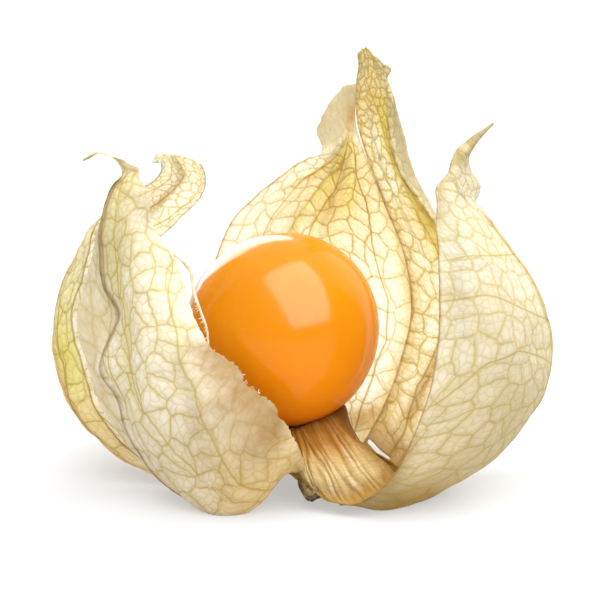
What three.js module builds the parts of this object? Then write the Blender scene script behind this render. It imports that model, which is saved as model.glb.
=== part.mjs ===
// Physalis berry (cape gooseberry) in its opened papery husk.
//
// Millimetres, +Z up, the origin on the surface under the middle of the fruit,
// and -Y towards the side where the husk is torn open widest.
//
// The husk is a calyx of five sepals that grew joined edge to edge as a lantern.
// Here it has been torn open from its tip, so five papery lobes stand round the
// berry, still joined low down at the foot. Each lobe is drawn as a set of ribs
// that run from the foot to the tip. A smooth sheet is stretched across the ribs
// and given the wall thickness.

import * as THREE from 'three';

// ---- Driving dimensions ----

const WALL = 0.4;             // husk wall as built; dried paper is nearer 0.1
const RIB_STEPS = 24;         // stations along a rib, foot to tip
const CROSS_STEPS = 12;       // stations across a lobe
const PRESSED = 0.05;         // paper this near the surface is pressed flat on it

const BERRY_RADIUS = 9.7;
const BERRY_CENTRE = new THREE.Vector3(-2, 0, 15.8);
const BERRY_TAPER = 0.07;     // how much slimmer the stalk end is than the far end
const BERRY_SIDES = 36;
const BERRY_RINGS = 22;

const STALK_TOP = new THREE.Vector3(1, -4.5, 6.9);       // where stalk, husk and berry meet
const STALK_RADIUS = 1.05;
const STALK_SIDES = 12;

// ---- Ribs, foot first, as [x, y, z] ----

const SEPALS = {
  // Front left lobe, seen from outside. Its outer margin is folded back behind it
  // and its point runs out in a dry tendril.
  sepal_front_left: {
    colour: 0xeadfb8,
    ribs: [
      [[-2.4, -5.2, 3.9], [-7, -5, 0.4], [-11.5, -3.5, 0.5], [-15.5, -3, 2.5], [-19.5, -2.5, 7], [-21.5, -2, 12.5],
        [-22.5, -2, 17], [-21.5, -2.5, 22.5], [-20.5, -3.5, 26.5], [-19.3, -4.3, 30.5], [-17.8, -4.9, 33],
        [-18.6, -4.5, 34.6], [-19.9, -4.4, 35.2], [-21.6, -4.6, 34.4]],
      [[-2.3, -6, 3.8], [-6, -8, -0.2], [-10.5, -7, -0.3], [-15, -6, 3], [-18, -5.5, 8], [-19.5, -5, 13],
        [-19, -5, 17.5], [-20, -5, 22.5], [-20, -5, 27.5], [-19.3, -5, 31.3], [-17.5, -5.2, 33.3],
        [-18.5, -4.8, 34.7], [-19.9, -4.7, 35.3], [-21.6, -4.8, 34.5]],
      [[-1.9, -7.6, 3.8], [-4.5, -10.5, 0.8], [-8.5, -11.5, 0.2], [-13, -11, 4.5], [-16, -10.5, 10], [-17, -9.5, 15],
        [-17, -9, 19.5], [-18, -8, 24], [-18.8, -7, 28], [-18.4, -6, 31.8], [-17.3, -5.3, 33.5],
        [-18.4, -5.1, 34.8], [-19.9, -5, 35.3], [-21.6, -5, 34.5]],
      [[-1.2, -9.4, 3.8], [-2.8, -12.3, 5.2], [-5.8, -13.5, 7.5], [-8.6, -13.5, 11], [-11.5, -12.5, 14.3],
        [-13, -11.5, 18], [-14.2, -10, 21.5], [-15.5, -8.5, 25], [-17, -7.2, 28.7], [-17, -6.2, 31.9],
        [-17, -5.4, 33.6], [-18.3, -5.4, 34.8], [-19.9, -5.3, 35.3], [-21.6, -5.2, 34.5]],
      [[-0.5, -10.4, 4.4], [-1, -11.5, 8], [-2.5, -11.6, 11.3], [-4.8, -11.2, 14], [-7, -10.6, 15.7],
        [-9.3, -10, 17.7], [-11.2, -8.4, 22], [-12.4, -6.9, 25], [-15, -5.7, 28], [-15.5, -5.2, 31.2],
        [-16.5, -5.3, 33.6], [-18.2, -5.7, 34.7], [-19.9, -5.6, 35.2], [-21.6, -5.4, 34.4]],
    ],
  },
  // Left lobe, behind the first, with its blunt end leaning in over the berry.
  sepal_left: {
    colour: 0xe8d98f,
    ribs: [
      [[-2.4, -4.4, 4], [-9, -2.6, 0.6], [-16, -1.2, 2.5], [-20, -0.8, 7.3], [-22, -0.5, 12], [-23, -0.5, 17],
        [-21.7, -0.8, 22.5], [-20.3, -0.8, 27], [-17.7, 0, 30.7], [-15, 1, 33.2]],
      [[-2.2, -3.6, 4], [-11, 1, -0.3], [-17.5, 2, 1.6], [-22.3, 2.5, 6], [-24.6, 3, 11.3], [-24.9, 3, 15.8],
        [-23.5, 3, 21], [-21.2, 2.6, 25.5], [-16.5, 2.5, 29.7], [-12.8, 2.6, 33.2]],
      [[-1.9, -2.8, 4], [-9, 6, -0.3], [-15.5, 8.8, 2], [-20, 10, 6], [-22.4, 9.8, 11], [-22.6, 9.5, 15.5],
        [-21.5, 8.5, 20.6], [-18, 6, 24.5], [-14, 4.6, 27.8], [-10.5, 3.6, 32.2]],
      [[-1.3, -2.1, 4], [-5.6, 9, 0.7], [-10.8, 13, 3.4], [-15.8, 14, 6.6], [-19, 13.6, 11], [-19.4, 13.2, 15.5],
        [-18, 11.2, 20.7], [-14.2, 7, 24], [-11.8, 4.8, 27], [-9.9, 4, 29.2]],
    ],
  },
  // Back left lobe, seen from inside. It was torn off slantwise at the top, and
  // the torn margin is bent backwards.
  sepal_back_left: {
    colour: 0xf2ebcb,
    ribs: [
      [[-0.9, -1.8, 4], [-4.4, 9.5, 0.8], [-8.8, 12.9, 4], [-9.9, 13.2, 10], [-9.9, 13, 16.5], [-8.4, 12.4, 21.5],
        [-5, 12, 26.3], [0, 11.5, 30.4], [1.8, 11.7, 31.6], [1.7, 13.6, 33.4]],
      [[-0.1, -1.3, 4], [-1.6, 10.2, -0.3], [-4.2, 14.7, 3.3], [-5, 16.3, 9], [-4.7, 16.3, 16], [-3, 15.4, 22],
        [-1.2, 14.2, 26.3], [1.9, 12.8, 29.8], [3.3, 12.3, 32.6], [2.7, 14.5, 35.3]],
      [[0.8, -1, 4], [1.5, 10, -0.3], [1.6, 15.3, 2.7], [1.8, 17.5, 8.8], [2, 17.5, 15.3], [2.8, 16.6, 21.4],
        [3.4, 15.2, 25.7], [4.3, 13.7, 29.9], [4.5, 12.8, 33.7], [4, 14.4, 36.8]],
      [[1.7, -1, 4], [4.6, 7.6, 0.8], [8, 11.8, 4.5], [10, 13.3, 8.6], [11.4, 13.9, 14.2], [10.7, 14.2, 20],
        [8.7, 13.9, 25.7], [6.8, 13.5, 29.6], [5.7, 12.9, 34.4], [5.4, 13.8, 37.8]],
    ],
  },
  // Back right lobe, the tallest, with the long point of the lantern and its
  // right margin bent backwards.
  sepal_back_right: {
    colour: 0xefe6bb,
    ribs: [
      [[2.4, -1.2, 4.1], [5.2, 6.5, 0.9], [8.3, 10.8, 4.8], [9.9, 12.4, 8.8], [11.1, 13, 14.3], [10.3, 13.3, 20.2],
        [8.3, 12.8, 26], [6.4, 11.4, 32.7], [5.6, 10.4, 37], [5.8, 10, 41.6]],
      [[3.1, -1.8, 4], [7.3, 4.3, -0.5], [11.2, 9, 2.7], [13.7, 11.8, 8], [14.2, 12.7, 14.6], [12.5, 13.5, 20.2],
        [9.8, 13.3, 26], [7.6, 12.5, 32.4], [6.7, 11.6, 37], [6.1, 10.6, 42.3]],
      [[3.7, -2.6, 3.9], [8.9, 1.8, -0.6], [13.2, 6.2, 2], [16.2, 9, 7.7], [17, 10.3, 15], [14.3, 12, 20.4],
        [10.9, 12.4, 26.4], [8.7, 12.2, 32.5], [8, 11.6, 37.1], [6.7, 10.7, 42.3]],
      [[4.1, -3.4, 3.8], [9.7, -0.6, 0.8], [14.3, 3.4, 2.3], [17.6, 6, 7.8], [18.8, 7.5, 15], [16.2, 9.5, 20.6],
        [11.8, 11.8, 26.6], [9.4, 12, 32.5], [9, 11.3, 36.9], [7, 10.5, 41.9]],
      [[4.3, -4, 3.7], [10, -1.5, 1.1], [15, 2.4, 2.6], [18.4, 5.2, 8], [19.5, 7, 15], [17, 10.3, 20.4],
        [12.7, 13.4, 26], [10.4, 13.6, 32.8], [9.6, 12.4, 36.6], [7.5, 11, 41.3]],
    ],
  },
  // Right lobe, seen from outside, with its twisted point.
  sepal_right: {
    colour: 0xf3ecd2,
    ribs: [
      [[3.6, -10.8, 0.8], [6.5, -12.8, 2], [9.7, -13.2, 5], [12, -13, 11.8], [13.1, -12.2, 18], [13.1, -10.6, 24.2],
        [13, -8, 29], [13.6, -6.6, 32.8], [15.7, -5.4, 35.8], [18.2, -4.7, 37.9]],
      [[4.6, -9, 0.4], [9.4, -9, -0.2], [14.4, -11, 4.3], [18.2, -12, 11.5], [19.3, -12, 18.6], [18, -10.6, 24.6],
        [15.6, -8.6, 29.3], [14.8, -7.1, 32.7], [15.9, -5.7, 35.8], [18.3, -4.6, 38.1]],
      [[5.3, -7, 0.2], [11.5, -4, -0.5], [17.7, -3.2, 2.6], [23.4, -3.5, 9.2], [24.7, -3.5, 15.9], [22.7, -3.5, 22],
        [18.7, -4.3, 27.8], [16.3, -5.1, 31.6], [16.2, -5.3, 35.6], [18.5, -4.4, 38.1]],
      [[5.6, -5.4, 0.4], [11.2, -1, 0.2], [16.8, 2.6, 3], [21.5, 4.6, 8], [23, 5, 14.8], [21.3, 3.6, 21],
        [18.4, 0, 27], [17, -3, 31], [16.4, -4.9, 35.3], [18.7, -4.3, 37.8]],
    ],
  },
};

// The foot, as ribs that run outward and down from the stalk, counterclockwise
// seen from above, starting at the torn lip in front.
const FOOT = {
  colour: 0xc8a468,
  ribs: [
    [[0.2, -6, 7.2], [0.3, -8, 6], [0.6, -9.8, 4], [1.3, -11, 2.2]],
    [[0.8, -6.1, 7.5], [1.4, -8.2, 5.6], [2, -10.2, 3.1], [2.7, -11.6, 1.7]],
    [[1.5, -6, 7.6], [2.7, -8, 5.3], [3.9, -9.8, 2.9], [4.9, -11.6, 1.9]],
    [[2.2, -5.5, 7.6], [4.2, -7, 5.2], [6.4, -9, 3.2], [8.2, -11, 3.7]],
    [[2.6, -4.6, 7.3], [4.6, -5.3, 5.4], [6.8, -6.1, 4], [9.1, -7, 4.4]],
    [[2.5, -3.7, 6.8], [3.2, -3.3, 6.1], [3.8, -3.1, 5.4], [4.2, -2.9, 4.9]],
    [[1.8, -3.2, 6.3], [2.1, -2.6, 5.8], [2.4, -2.1, 5.2], [2.7, -1.7, 4.8]],
    [[0.8, -3.1, 6], [0.7, -2.5, 5.6], [0.6, -2, 5.1], [0.4, -1.6, 4.7]],
    [[0, -3.6, 6], [-0.7, -3.2, 5.6], [-1.2, -2.9, 5.1], [-1.6, -2.6, 4.7]],
    [[-0.6, -4.5, 6.2], [-1.1, -4.8, 5.8], [-1.6, -5, 5.2], [-1.9, -5.2, 4.7]],
    [[-0.4, -5.4, 6.7], [-0.8, -6.3, 6.1], [-1.1, -7.1, 5.4], [-1.3, -7.6, 4.7]],
  ],
};

const COLOURS = { berry: 0xf08c14, stalk: 0x6e5a32 };

// ---- Sheets ----

const vector = ([x, y, z]) => new THREE.Vector3(x, y, z);

// A smooth curve through the points of one rib or of one crossing.
const smooth = (points, closed = false) => new THREE.CatmullRomCurve3(points, closed, 'catmullrom', 0.5);

// Grid of points on the middle of a sheet: rows along the ribs, columns across.
function sheetGrid(ribs, along, across, closed) {
  const ribCurves = ribs.map((rib) => smooth(rib.map(vector)));
  const rows = [];
  for (let i = 0; i <= along; i += 1) {
    const crossing = smooth(ribCurves.map((curve) => curve.getPoint(i / along)), closed);
    const columns = closed ? across : across + 1;
    const row = [];
    for (let j = 0; j < columns; j += 1) {
      const point = crossing.getPoint(j / across);
      point.z = Math.max(point.z, WALL / 2);
      row.push(point);
    }
    rows.push(row);
  }
  return rows;
}

// Direction square to the sheet at one grid point, from its neighbours.
function sheetNormal(rows, i, j, closed) {
  const columns = rows[0].length;
  const before = closed ? (j + columns - 1) % columns : Math.max(j - 1, 0);
  const after = closed ? (j + 1) % columns : Math.min(j + 1, columns - 1);
  const lower = rows[Math.max(i - 1, 0)][j];
  const upper = rows[Math.min(i + 1, rows.length - 1)][j];
  const along = upper.clone().sub(lower);
  const across = rows[i][after].clone().sub(rows[i][before]);
  return across.cross(along).normalize();
}

// Closed solid with the sheet at its middle and the wall thickness all over.
function sheetSolid(ribs, along, across, closed = false) {
  const rows = sheetGrid(ribs, along, across, closed);
  const columns = rows[0].length;
  const positions = [];
  for (const side of [1, -1]) {
    rows.forEach((row, i) => row.forEach((point, j) => {
      const offset = sheetNormal(rows, i, j, closed).multiplyScalar((side * WALL) / 2);
      const corner = point.clone().add(offset);
      if (corner.z < PRESSED) corner.z = 0;
      positions.push(...corner.toArray());
    }));
  }
  const back = rows.length * columns;
  const at = (i, j) => i * columns + (j % columns);
  const faces = [];
  const quad = (a, b, c, d) => faces.push(a, b, c, a, c, d);
  const spans = closed ? columns : columns - 1;
  for (let i = 0; i < along; i += 1) {
    for (let j = 0; j < spans; j += 1) {
      const corners = [at(i, j), at(i, j + 1), at(i + 1, j + 1), at(i + 1, j)];
      quad(...corners);
      quad(...corners.reverse().map((index) => index + back));
    }
  }
  for (let j = 0; j < spans; j += 1) {
    quad(at(0, j + 1), at(0, j), at(0, j) + back, at(0, j + 1) + back);
    quad(at(along, j), at(along, j + 1), at(along, j + 1) + back, at(along, j) + back);
  }
  if (!closed) {
    for (let i = 0; i < along; i += 1) {
      quad(at(i, 0), at(i + 1, 0), at(i + 1, 0) + back, at(i, 0) + back);
      quad(at(i + 1, columns - 1), at(i, columns - 1), at(i, columns - 1) + back, at(i + 1, columns - 1) + back);
    }
  }
  const geometry = new THREE.BufferGeometry();
  geometry.setAttribute('position', new THREE.Float32BufferAttribute(positions, 3));
  geometry.setIndex(faces);
  geometry.computeVertexNormals();
  return geometry;
}

// ---- Pieces ----

function mesh(name, geometry, colour, roughness) {
  const material = new THREE.MeshStandardMaterial({ color: colour, roughness, metalness: 0 });
  const piece = new THREE.Mesh(geometry, material);
  piece.name = name;
  return piece;
}

// The berry is nearly a ball, a little slimmer towards its stalk.
function makeBerry() {
  const profile = [];
  for (let k = 0; k <= BERRY_RINGS; k += 1) {
    const angle = -Math.PI / 2 + (Math.PI * k) / BERRY_RINGS;
    const radius = BERRY_RADIUS * Math.cos(angle) * (1 + BERRY_TAPER * Math.sin(angle) * 0.5);
    profile.push(new THREE.Vector2(k % BERRY_RINGS ? radius : 0, BERRY_RADIUS * Math.sin(angle)));
  }
  const geometry = new THREE.LatheGeometry(profile, BERRY_SIDES);
  const berry = mesh('berry', geometry, COLOURS.berry, 0.25);
  berry.position.copy(BERRY_CENTRE);
  const axis = BERRY_CENTRE.clone().sub(STALK_TOP).normalize();
  berry.quaternion.setFromUnitVectors(new THREE.Vector3(0, 1, 0), axis);
  return berry;
}

// The dried stalk, snapped off short: it bends down and out under the torn lip.
function makeStalk() {
  const route = smooth([STALK_TOP, new THREE.Vector3(0.8, -5.6, 5.4), new THREE.Vector3(0.6, -7.6, 3.2),
    new THREE.Vector3(0.5, -9.6, 1.5)]);
  const section = new THREE.Shape();
  section.absarc(0, 0, STALK_RADIUS, 0, 2 * Math.PI);
  const geometry = new THREE.ExtrudeGeometry(section,
    { steps: 10, curveSegments: STALK_SIDES, extrudePath: route, bevelEnabled: false });
  return mesh('stalk', geometry, COLOURS.stalk, 0.8);
}

const fruit = new THREE.Group();
fruit.add(makeBerry(), makeStalk());
fruit.add(mesh('husk_foot', sheetSolid(FOOT.ribs, 6, 44, true), FOOT.colour, 0.7));
for (const [name, sepal] of Object.entries(SEPALS)) {
  fruit.add(mesh(name, sheetSolid(sepal.ribs, RIB_STEPS, CROSS_STEPS), sepal.colour, 0.6));
}

// The origin goes under the middle of the whole fruit.
const middle = new THREE.Box3().setFromObject(fruit, true).getCenter(new THREE.Vector3());
fruit.position.set(-middle.x, -middle.y, 0);

const part = new THREE.Group();
part.add(fruit);

export default part;
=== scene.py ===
# %% [markdown]
# # A physalis berry in its opened husk
#
# A cape gooseberry grows inside a papery lantern, which is its calyx of five sepals. Here the
# lantern has been torn open from the tip, and its lobes stand round the glossy orange berry.
# Everything is built in metres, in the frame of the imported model, which stays the fixed
# reference for places and sizes.

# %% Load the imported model
import math
import random

import bmesh
import bpy
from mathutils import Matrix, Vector, noise


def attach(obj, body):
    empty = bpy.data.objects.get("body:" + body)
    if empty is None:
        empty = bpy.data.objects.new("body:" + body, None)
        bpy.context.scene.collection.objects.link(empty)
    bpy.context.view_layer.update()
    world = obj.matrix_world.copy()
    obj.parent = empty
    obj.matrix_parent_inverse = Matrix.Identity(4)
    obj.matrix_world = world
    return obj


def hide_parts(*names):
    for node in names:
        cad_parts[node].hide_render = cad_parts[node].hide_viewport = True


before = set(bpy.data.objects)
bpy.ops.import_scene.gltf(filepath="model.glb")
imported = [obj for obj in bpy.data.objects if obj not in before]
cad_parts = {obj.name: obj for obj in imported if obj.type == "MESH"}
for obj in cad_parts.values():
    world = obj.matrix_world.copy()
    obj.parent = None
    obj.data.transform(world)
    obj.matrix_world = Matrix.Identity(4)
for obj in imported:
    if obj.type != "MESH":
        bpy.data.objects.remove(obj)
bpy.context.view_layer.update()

# %% [markdown]
# ## One smooth curve, one smooth sheet
#
# Dried paper bends in one piece, so each lobe is a sheet stretched across a few ribs. A rib is
# a short list of points from the foot to the tip, in millimetres, joined by a Catmull-Rom
# curve, which passes through every point. A second curve, run across all the ribs at the same
# station, gives the sheet. Subdivision modelling by hand would do too, but points that lie on
# the surface are easier to set against a real outline.

# %% A curve through points, and a sheet through ribs
MM = 0.001
ORIGIN_SHIFT = Vector((0.1, -2.1, 0))    # puts the origin under the middle of the fruit


def along(points, t):
    """Point on the smooth curve through the points, with t from 0 to 1."""
    spans = len(points) - 1
    place = min(max(t, 0.0), 1.0) * spans
    k = min(int(place), spans - 1)
    w = place - k
    b, c = points[k], points[k + 1]
    a = points[k - 1] if k > 0 else b * 2 - c
    d = points[k + 2] if k + 2 <= spans else c * 2 - b
    return 0.5 * (b * 2 + (c - a) * w + (a * 2 - b * 5 + c * 4 - d) * w ** 2
                  + (b * 3 - a - c * 3 + d) * w ** 3)


def heading(points, t, reach):
    """Direction of the curve at t, taken between two points a reach to each side."""
    return (along(points, min(1, t + reach)) - along(points, max(0, t - reach))).normalized()


def placed(point):
    """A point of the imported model's frame, in metres, from the ribs' millimetres."""
    return (point + ORIGIN_SHIFT) * MM


def across(row, u, crease=None):
    """Point across one row of ribs; the sheet may turn sharply at the crease rib."""
    last = len(row) - 1
    if crease is None:
        return along(row, u)
    if u * last <= crease:
        return along(row[:crease + 1], u * last / crease)
    return along(row[crease:], (u * last - crease) / (last - crease))


# %% [markdown]
# ## The ribs of the five lobes
#
# These are the main forms of the model. They follow the ribs of the solids, and are drawn a
# little finer at the tips and beside the tears. `crease` names the rib where a margin is
# folded over. `outward` is 1 where the sheet's first side looks out of the lantern, and -1
# where it looks in. The two back lobes meet along a valley, so each is kept `calm`, without
# crumples, on the side where they meet. Each of the `pulls` draws the sheet out near one
# place: (across, along), how far it reaches, and the move in millimetres.

# %% Ribs
LOBES = {
    "sepal_front_left": {
        "outward": 1, "crease": 1,
        "pulls": [
            ((0.25, 0.485), (0.1, 0.03), (1.2, -0.4, 0)), ((0.25, 0.385), (0.1, 0.03), (-0.6, 0, 0)),
            ((0.27, 0.34), (0.1, 0.03), (0.6, -0.2, 0)), ((1.0, 0.66), (0.4, 0.05), (0.5, 0, 0.2)),
            ((0.5, 0.74), (0.8, 0.03), (-0.3, 0, 0.1)), ((0.5, 0.88), (1, 0.05), (-0.2, 0, -0.3)),
            ((1.0, 0.02), (0.3, 0.07), (0.75, 0, 0)), ((1.0, 0.76), (0.3, 0.03), (0.4, 0, 0.2)),
            ((1.0, 0.46), (0.15, 0.05), (-0.35, 0, 0)), ((1.0, 0.84), (0.4, 0.02), (0.45, 0, 0)),
            ((0.0, 0.96), (0.5, 0.06), (0, 0, -0.15)), ((1.0, 0.96), (0.5, 0.06), (0, 0, 0.15)),
        ],
        "ribs": [
            [(-2.4, -5.2, 3.9), (-7, -5, .4), (-11.5, -3.5, .5), (-15.5, -3, 2.5), (-19.5, -2.5, 7),
             (-21.5, -2, 12.5), (-22.5, -2, 17), (-21.5, -2.5, 22.5), (-20.5, -3.5, 26.5),
             (-19.3, -4.3, 30.5), (-17.8, -4.9, 33), (-18.6, -4.5, 34.6), (-19.9, -4.4, 35.2),
             (-21.6, -4.6, 34.4)],
            [(-2.3, -6, 3.8), (-6, -8, -.2), (-10.5, -7, -.3), (-15, -6, 3), (-18, -5.5, 8),
             (-19.5, -5, 13), (-19, -5, 17.5), (-20, -5, 22.5), (-20, -5, 27.5),
             (-19.3, -5, 31.3), (-17.5, -5.2, 33.3), (-18.5, -4.8, 34.7), (-19.9, -4.7, 35.3),
             (-21.6, -4.8, 34.5)],
            [(-1.9, -7.6, 3.8), (-4.5, -10.5, .8), (-8.5, -11.5, .2), (-13, -11, 4.5),
             (-16, -10.5, 10), (-17, -9.5, 15), (-17, -9, 19.5), (-18, -8, 24), (-18.8, -7, 28),
             (-18.4, -6, 31.8), (-17.3, -5.3, 33.5), (-18.4, -5.1, 34.8), (-19.9, -5, 35.3),
             (-21.6, -5, 34.5)],
            [(-1.2, -9.4, 3.8), (-2.8, -12.3, 5.2), (-5.8, -13.5, 7.5), (-8.6, -13.5, 11),
             (-11.5, -12.5, 14.3), (-13, -11.5, 18), (-14.2, -10, 21.5), (-15.5, -8.5, 25),
             (-17, -7.2, 28.7), (-17, -6.2, 31.9), (-17, -5.4, 33.6), (-18.3, -5.4, 34.8),
             (-19.9, -5.3, 35.3), (-21.6, -5.2, 34.5)],
            [(-.5, -10.4, 4.4), (-1, -11.5, 8), (-2.5, -11.6, 11.3), (-4.8, -11.2, 14),
             (-7, -10.6, 15.7), (-9.3, -10, 17.7), (-11.2, -8.4, 22), (-12.4, -6.9, 25),
             (-15, -5.7, 28), (-15.5, -5.2, 31.2), (-16.5, -5.3, 33.6), (-18.2, -5.7, 34.7),
             (-19.9, -5.6, 35.2), (-21.6, -5.4, 34.4)],
        ],
    },
    "sepal_left": {
        "outward": -1, "crease": 2,
        "pulls": [
            ((0.2, 0.25), (0.4, 0.06), (-0.35, 0, -0.2)), ((0.0, 0.965), (0.1, 0.02), (0.35, 0, 0.35)),
        ],
        "ribs": [
            [(-2.4, -4.4, 4), (-9, -2.6, .6), (-16, -1.2, 2.5), (-20, -.8, 7.3), (-22, -.5, 12),
             (-23, -.5, 17), (-21.7, -.8, 22.5), (-20.3, -.8, 27), (-18.4, 0, 29.2),
             (-16.5, .6, 30.3), (-15.1, 1.2, 30.8), (-14.2, 1.5, 32.1), (-15.1, .8, 32.8)],
            [(-2.2, -3.6, 4), (-11, 1, -.3), (-17.5, 2, 1.6), (-22.3, 2.5, 6), (-24.6, 3, 11.3),
             (-24.9, 3, 15.8), (-23.5, 3, 21), (-21.2, 2.6, 25.5), (-16.8, 2.2, 28.3),
             (-15.3, 2.2, 29.2), (-13.9, 2.2, 30.3), (-13.1, 2.2, 31.6), (-14.5, 1.2, 33.8)],
            [(-2, -3.2, 4), (-10.3, 3.6, -.5), (-17, 5.5, 1.5), (-21.7, 6.5, 5.8), (-24.1, 6.6, 11),
             (-24.4, 6.4, 15.6), (-23.1, 5.9, 20.8), (-19.8, 4.8, 24.9), (-15.4, 4.4, 26.3),
             (-14.1, 4.4, 27.9), (-12.8, 4.1, 29.3), (-11.9, 3.5, 31.1), (-13.1, 1.8, 33.6)],
            [(-1.9, -2.8, 4), (-9, 6, -.3), (-15.5, 8.8, 2), (-20, 10, 6), (-22.4, 9.8, 11),
             (-22.6, 9.5, 15.5), (-21.5, 8.5, 20.6), (-18, 6.4, 24.3), (-14.4, 4.9, 25.2),
             (-12.8, 4.2, 27.1), (-11.4, 3.5, 28.7), (-10.7, 2.7, 30.8), (-11.5, 1.7, 33.3)],
            [(-1.3, -2.1, 4), (-5.6, 9, .7), (-10.8, 13, 3.4), (-15.8, 14, 6.6),
             (-19, 13.6, 11), (-19.4, 13.2, 15.5), (-18, 11.2, 20.7), (-15, 7, 23.4),
             (-13.8, 4.6, 24.6), (-11.7, 3.6, 27), (-10.1, 3, 28.9), (-9.7, 2.2, 31.1),
             (-10.1, 1.4, 32.5)],
        ],
    },
    "sepal_back_left": {
        "outward": -1, "calm": 1.0,
        "pulls": [
            ((0.1, 0.65), (0.2, 0.08), (-0.25, 0, 0.25)), ((0.3, 0.97), (0.3, 0.03), (-0.3, 0, 0)),
            ((0.8, 1.0), (0.5, 0.04), (0, 0, 0.5)), ((0.2, 1.0), (0.4, 0.04), (-0.2, 0, 0.2)),
        ],
        "ribs": [
            [(-.9, -1.8, 4), (-4.4, 9.5, .8), (-8.8, 12.9, 4), (-9.9, 13.2, 10), (-9.9, 13, 16.5),
             (-8.4, 12.4, 21.5), (-5, 12, 26.3), (0, 11.5, 30.4), (1.8, 11.5, 31.4),
             (1.7, 14, 33.2)],
            [(-.1, -1.3, 4), (-1.6, 10.2, -.3), (-4.2, 14.7, 3.3), (-5, 16.3, 9),
             (-4.7, 16.3, 16), (-3, 15.4, 22), (-1.2, 14.2, 26.3), (1.9, 12.8, 29.8),
             (3.2, 11.5, 31.9), (2.8, 14.3, 35.3)],
            [(.8, -1, 4), (1.5, 10, -.3), (1.6, 15.3, 2.7), (1.8, 17.5, 8.8), (2, 17.5, 15.3),
             (2.8, 16.6, 21.4), (3.4, 15.2, 25.7), (4.2, 13.7, 29.9), (4.4, 11.9, 33),
             (4.1, 14.1, 37.1)],
            [(2.4, -1.2, 4), (5.3, 6.6, .8), (8.5, 10.9, 4.7), (10.1, 12.5, 8.7), (11.3, 13.1, 14.3),
             (10.5, 13.5, 20), (8.5, 13, 25.7), (6.5, 12.4, 30.4), (5.3, 11.6, 34.5),
             (5.4, 12.4, 38.3)],
        ],
    },
    "sepal_back_right": {
        "outward": -1, "crease": 3, "calm": 0.0,
        "pulls": [
            ((1.0, 0.965), (0.12, 0.014), (0.75, -0.2, 0.25)), ((0.75, 0.72), (0.25, 0.04), (-0.5, 0, 0)),
            ((0.1, 0.26), (0.25, 0.025), (0, -0.5, 0.3)), ((0.2, 0.21), (0.3, 0.02), (0, 0.4, -0.2)),
            ((0.0, 1.0), (0.4, 0.02), (-0.3, 0, 0.25)),
        ],
        "ribs": [
            [(2.4, -1.2, 4.1), (5.2, 6.5, .9), (8.3, 10.8, 4.8), (9.9, 12.4, 8.8), (11.1, 13, 14.3),
             (10.3, 13.3, 20.2), (8.2, 12.9, 25.8), (5.7, 12.2, 33.2), (5.3, 10.6, 38),
             (5.8, 10, 41.9)],
            [(3.1, -1.8, 4), (7.3, 4.3, -.5), (11.2, 9, 2.7), (13.7, 11.8, 8), (14.2, 12.7, 14.6),
             (12.5, 13.5, 20.2), (9.6, 13.4, 26), (6.8, 12.7, 33.3), (6.3, 11.3, 38),
             (6.1, 10.6, 42.4)],
            [(3.7, -2.6, 3.9), (8.9, 1.8, -.6), (13.2, 6.2, 2), (16.2, 9, 7.7), (17, 10.3, 15),
             (14.3, 12, 20.4), (10.8, 12.6, 26.2), (7.9, 12.6, 33.5), (7.6, 11.6, 38),
             (6.7, 10.7, 42.4)],
            [(4.1, -3.4, 3.8), (9.7, -.6, .8), (14.3, 3.4, 2.3), (17.6, 6, 7.8), (18.8, 7.5, 15),
             (16.2, 9.5, 20.6), (11.8, 11.8, 26.6), (8.8, 12, 33.3), (8.7, 11.3, 37.6),
             (7.1, 10.5, 41.8)],
            [(4.3, -4, 3.7), (10, -1.5, 1.1), (15, 2.4, 2.6), (18.4, 5.2, 8), (19.5, 7, 15),
             (17, 10.3, 20.4), (12.7, 13.4, 26), (10.3, 13.6, 33), (9, 12.2, 37.4),
             (7.5, 11, 41.2)],
        ],
    },
    "sepal_right": {
        "outward": 1,
        "pulls": [
            ((0.0, 0.2), (0.25, 0.12), (-0.6, 0, 0.3)), ((1.0, 0.79), (0.4, 0.03), (0.5, 0.1, 0)),
            ((1.0, 0.735), (0.4, 0.018), (-0.4, 0, -0.1)), ((0.6, 0.45), (0.3, 0.12), (-0.2, 0, 0)),
            ((0.6, 0.27), (0.3, 0.07), (0.4, 0, 0)), ((0.0, 0.8), (0.2, 0.025), (0.35, 0, 0)),
            ((0.0, 0.745), (0.2, 0.02), (-0.3, 0, 0.1)), ((0.5, 0.87), (0.6, 0.02), (-0.2, -0.2, 0.1)),
        ],
        "ribs": [
            [(3.6, -10.8, .8), (6.5, -12.8, 2), (9.7, -13.2, 5), (12, -13, 11.8), (13.1, -12.2, 18),
             (13.1, -10.6, 24.2), (13, -8, 29), (13.6, -6.6, 32.8), (15.8, -5.4, 35.7),
             (18.45, -4.6, 38.05)],
            [(4.6, -9, .4), (9.4, -9, -.2), (14.4, -11, 4.3), (18.2, -12, 11.5),
             (19.3, -12, 18.6), (18, -10.6, 24.6), (15.6, -8.6, 29.3), (14.8, -7.1, 32.7),
             (15.95, -5.6, 35.7), (18.5, -4.55, 38.1)],
            [(5.3, -7, .2), (11.5, -4, -.5), (17.7, -3.2, 2.6), (23.4, -3.5, 9.2),
             (24.7, -3.5, 15.9), (22.7, -3.5, 22), (18.7, -4.3, 27.8), (16.3, -5.1, 31.6),
             (16.15, -5.3, 35.55), (18.55, -4.5, 38.05)],
            [(5.6, -5.4, .4), (11.2, -1, .2), (16.8, 2.6, 3), (21.5, 4.6, 8), (23, 5, 14.8),
             (21.3, 3.6, 21), (18.4, 0, 27), (17, -3, 31), (16.3, -5, 35.4),
             (18.6, -4.45, 37.95)],
        ],
    },
}
print("lobes:", len(LOBES), "ribs:", sum(len(lobe["ribs"]) for lobe in LOBES.values()))

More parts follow.
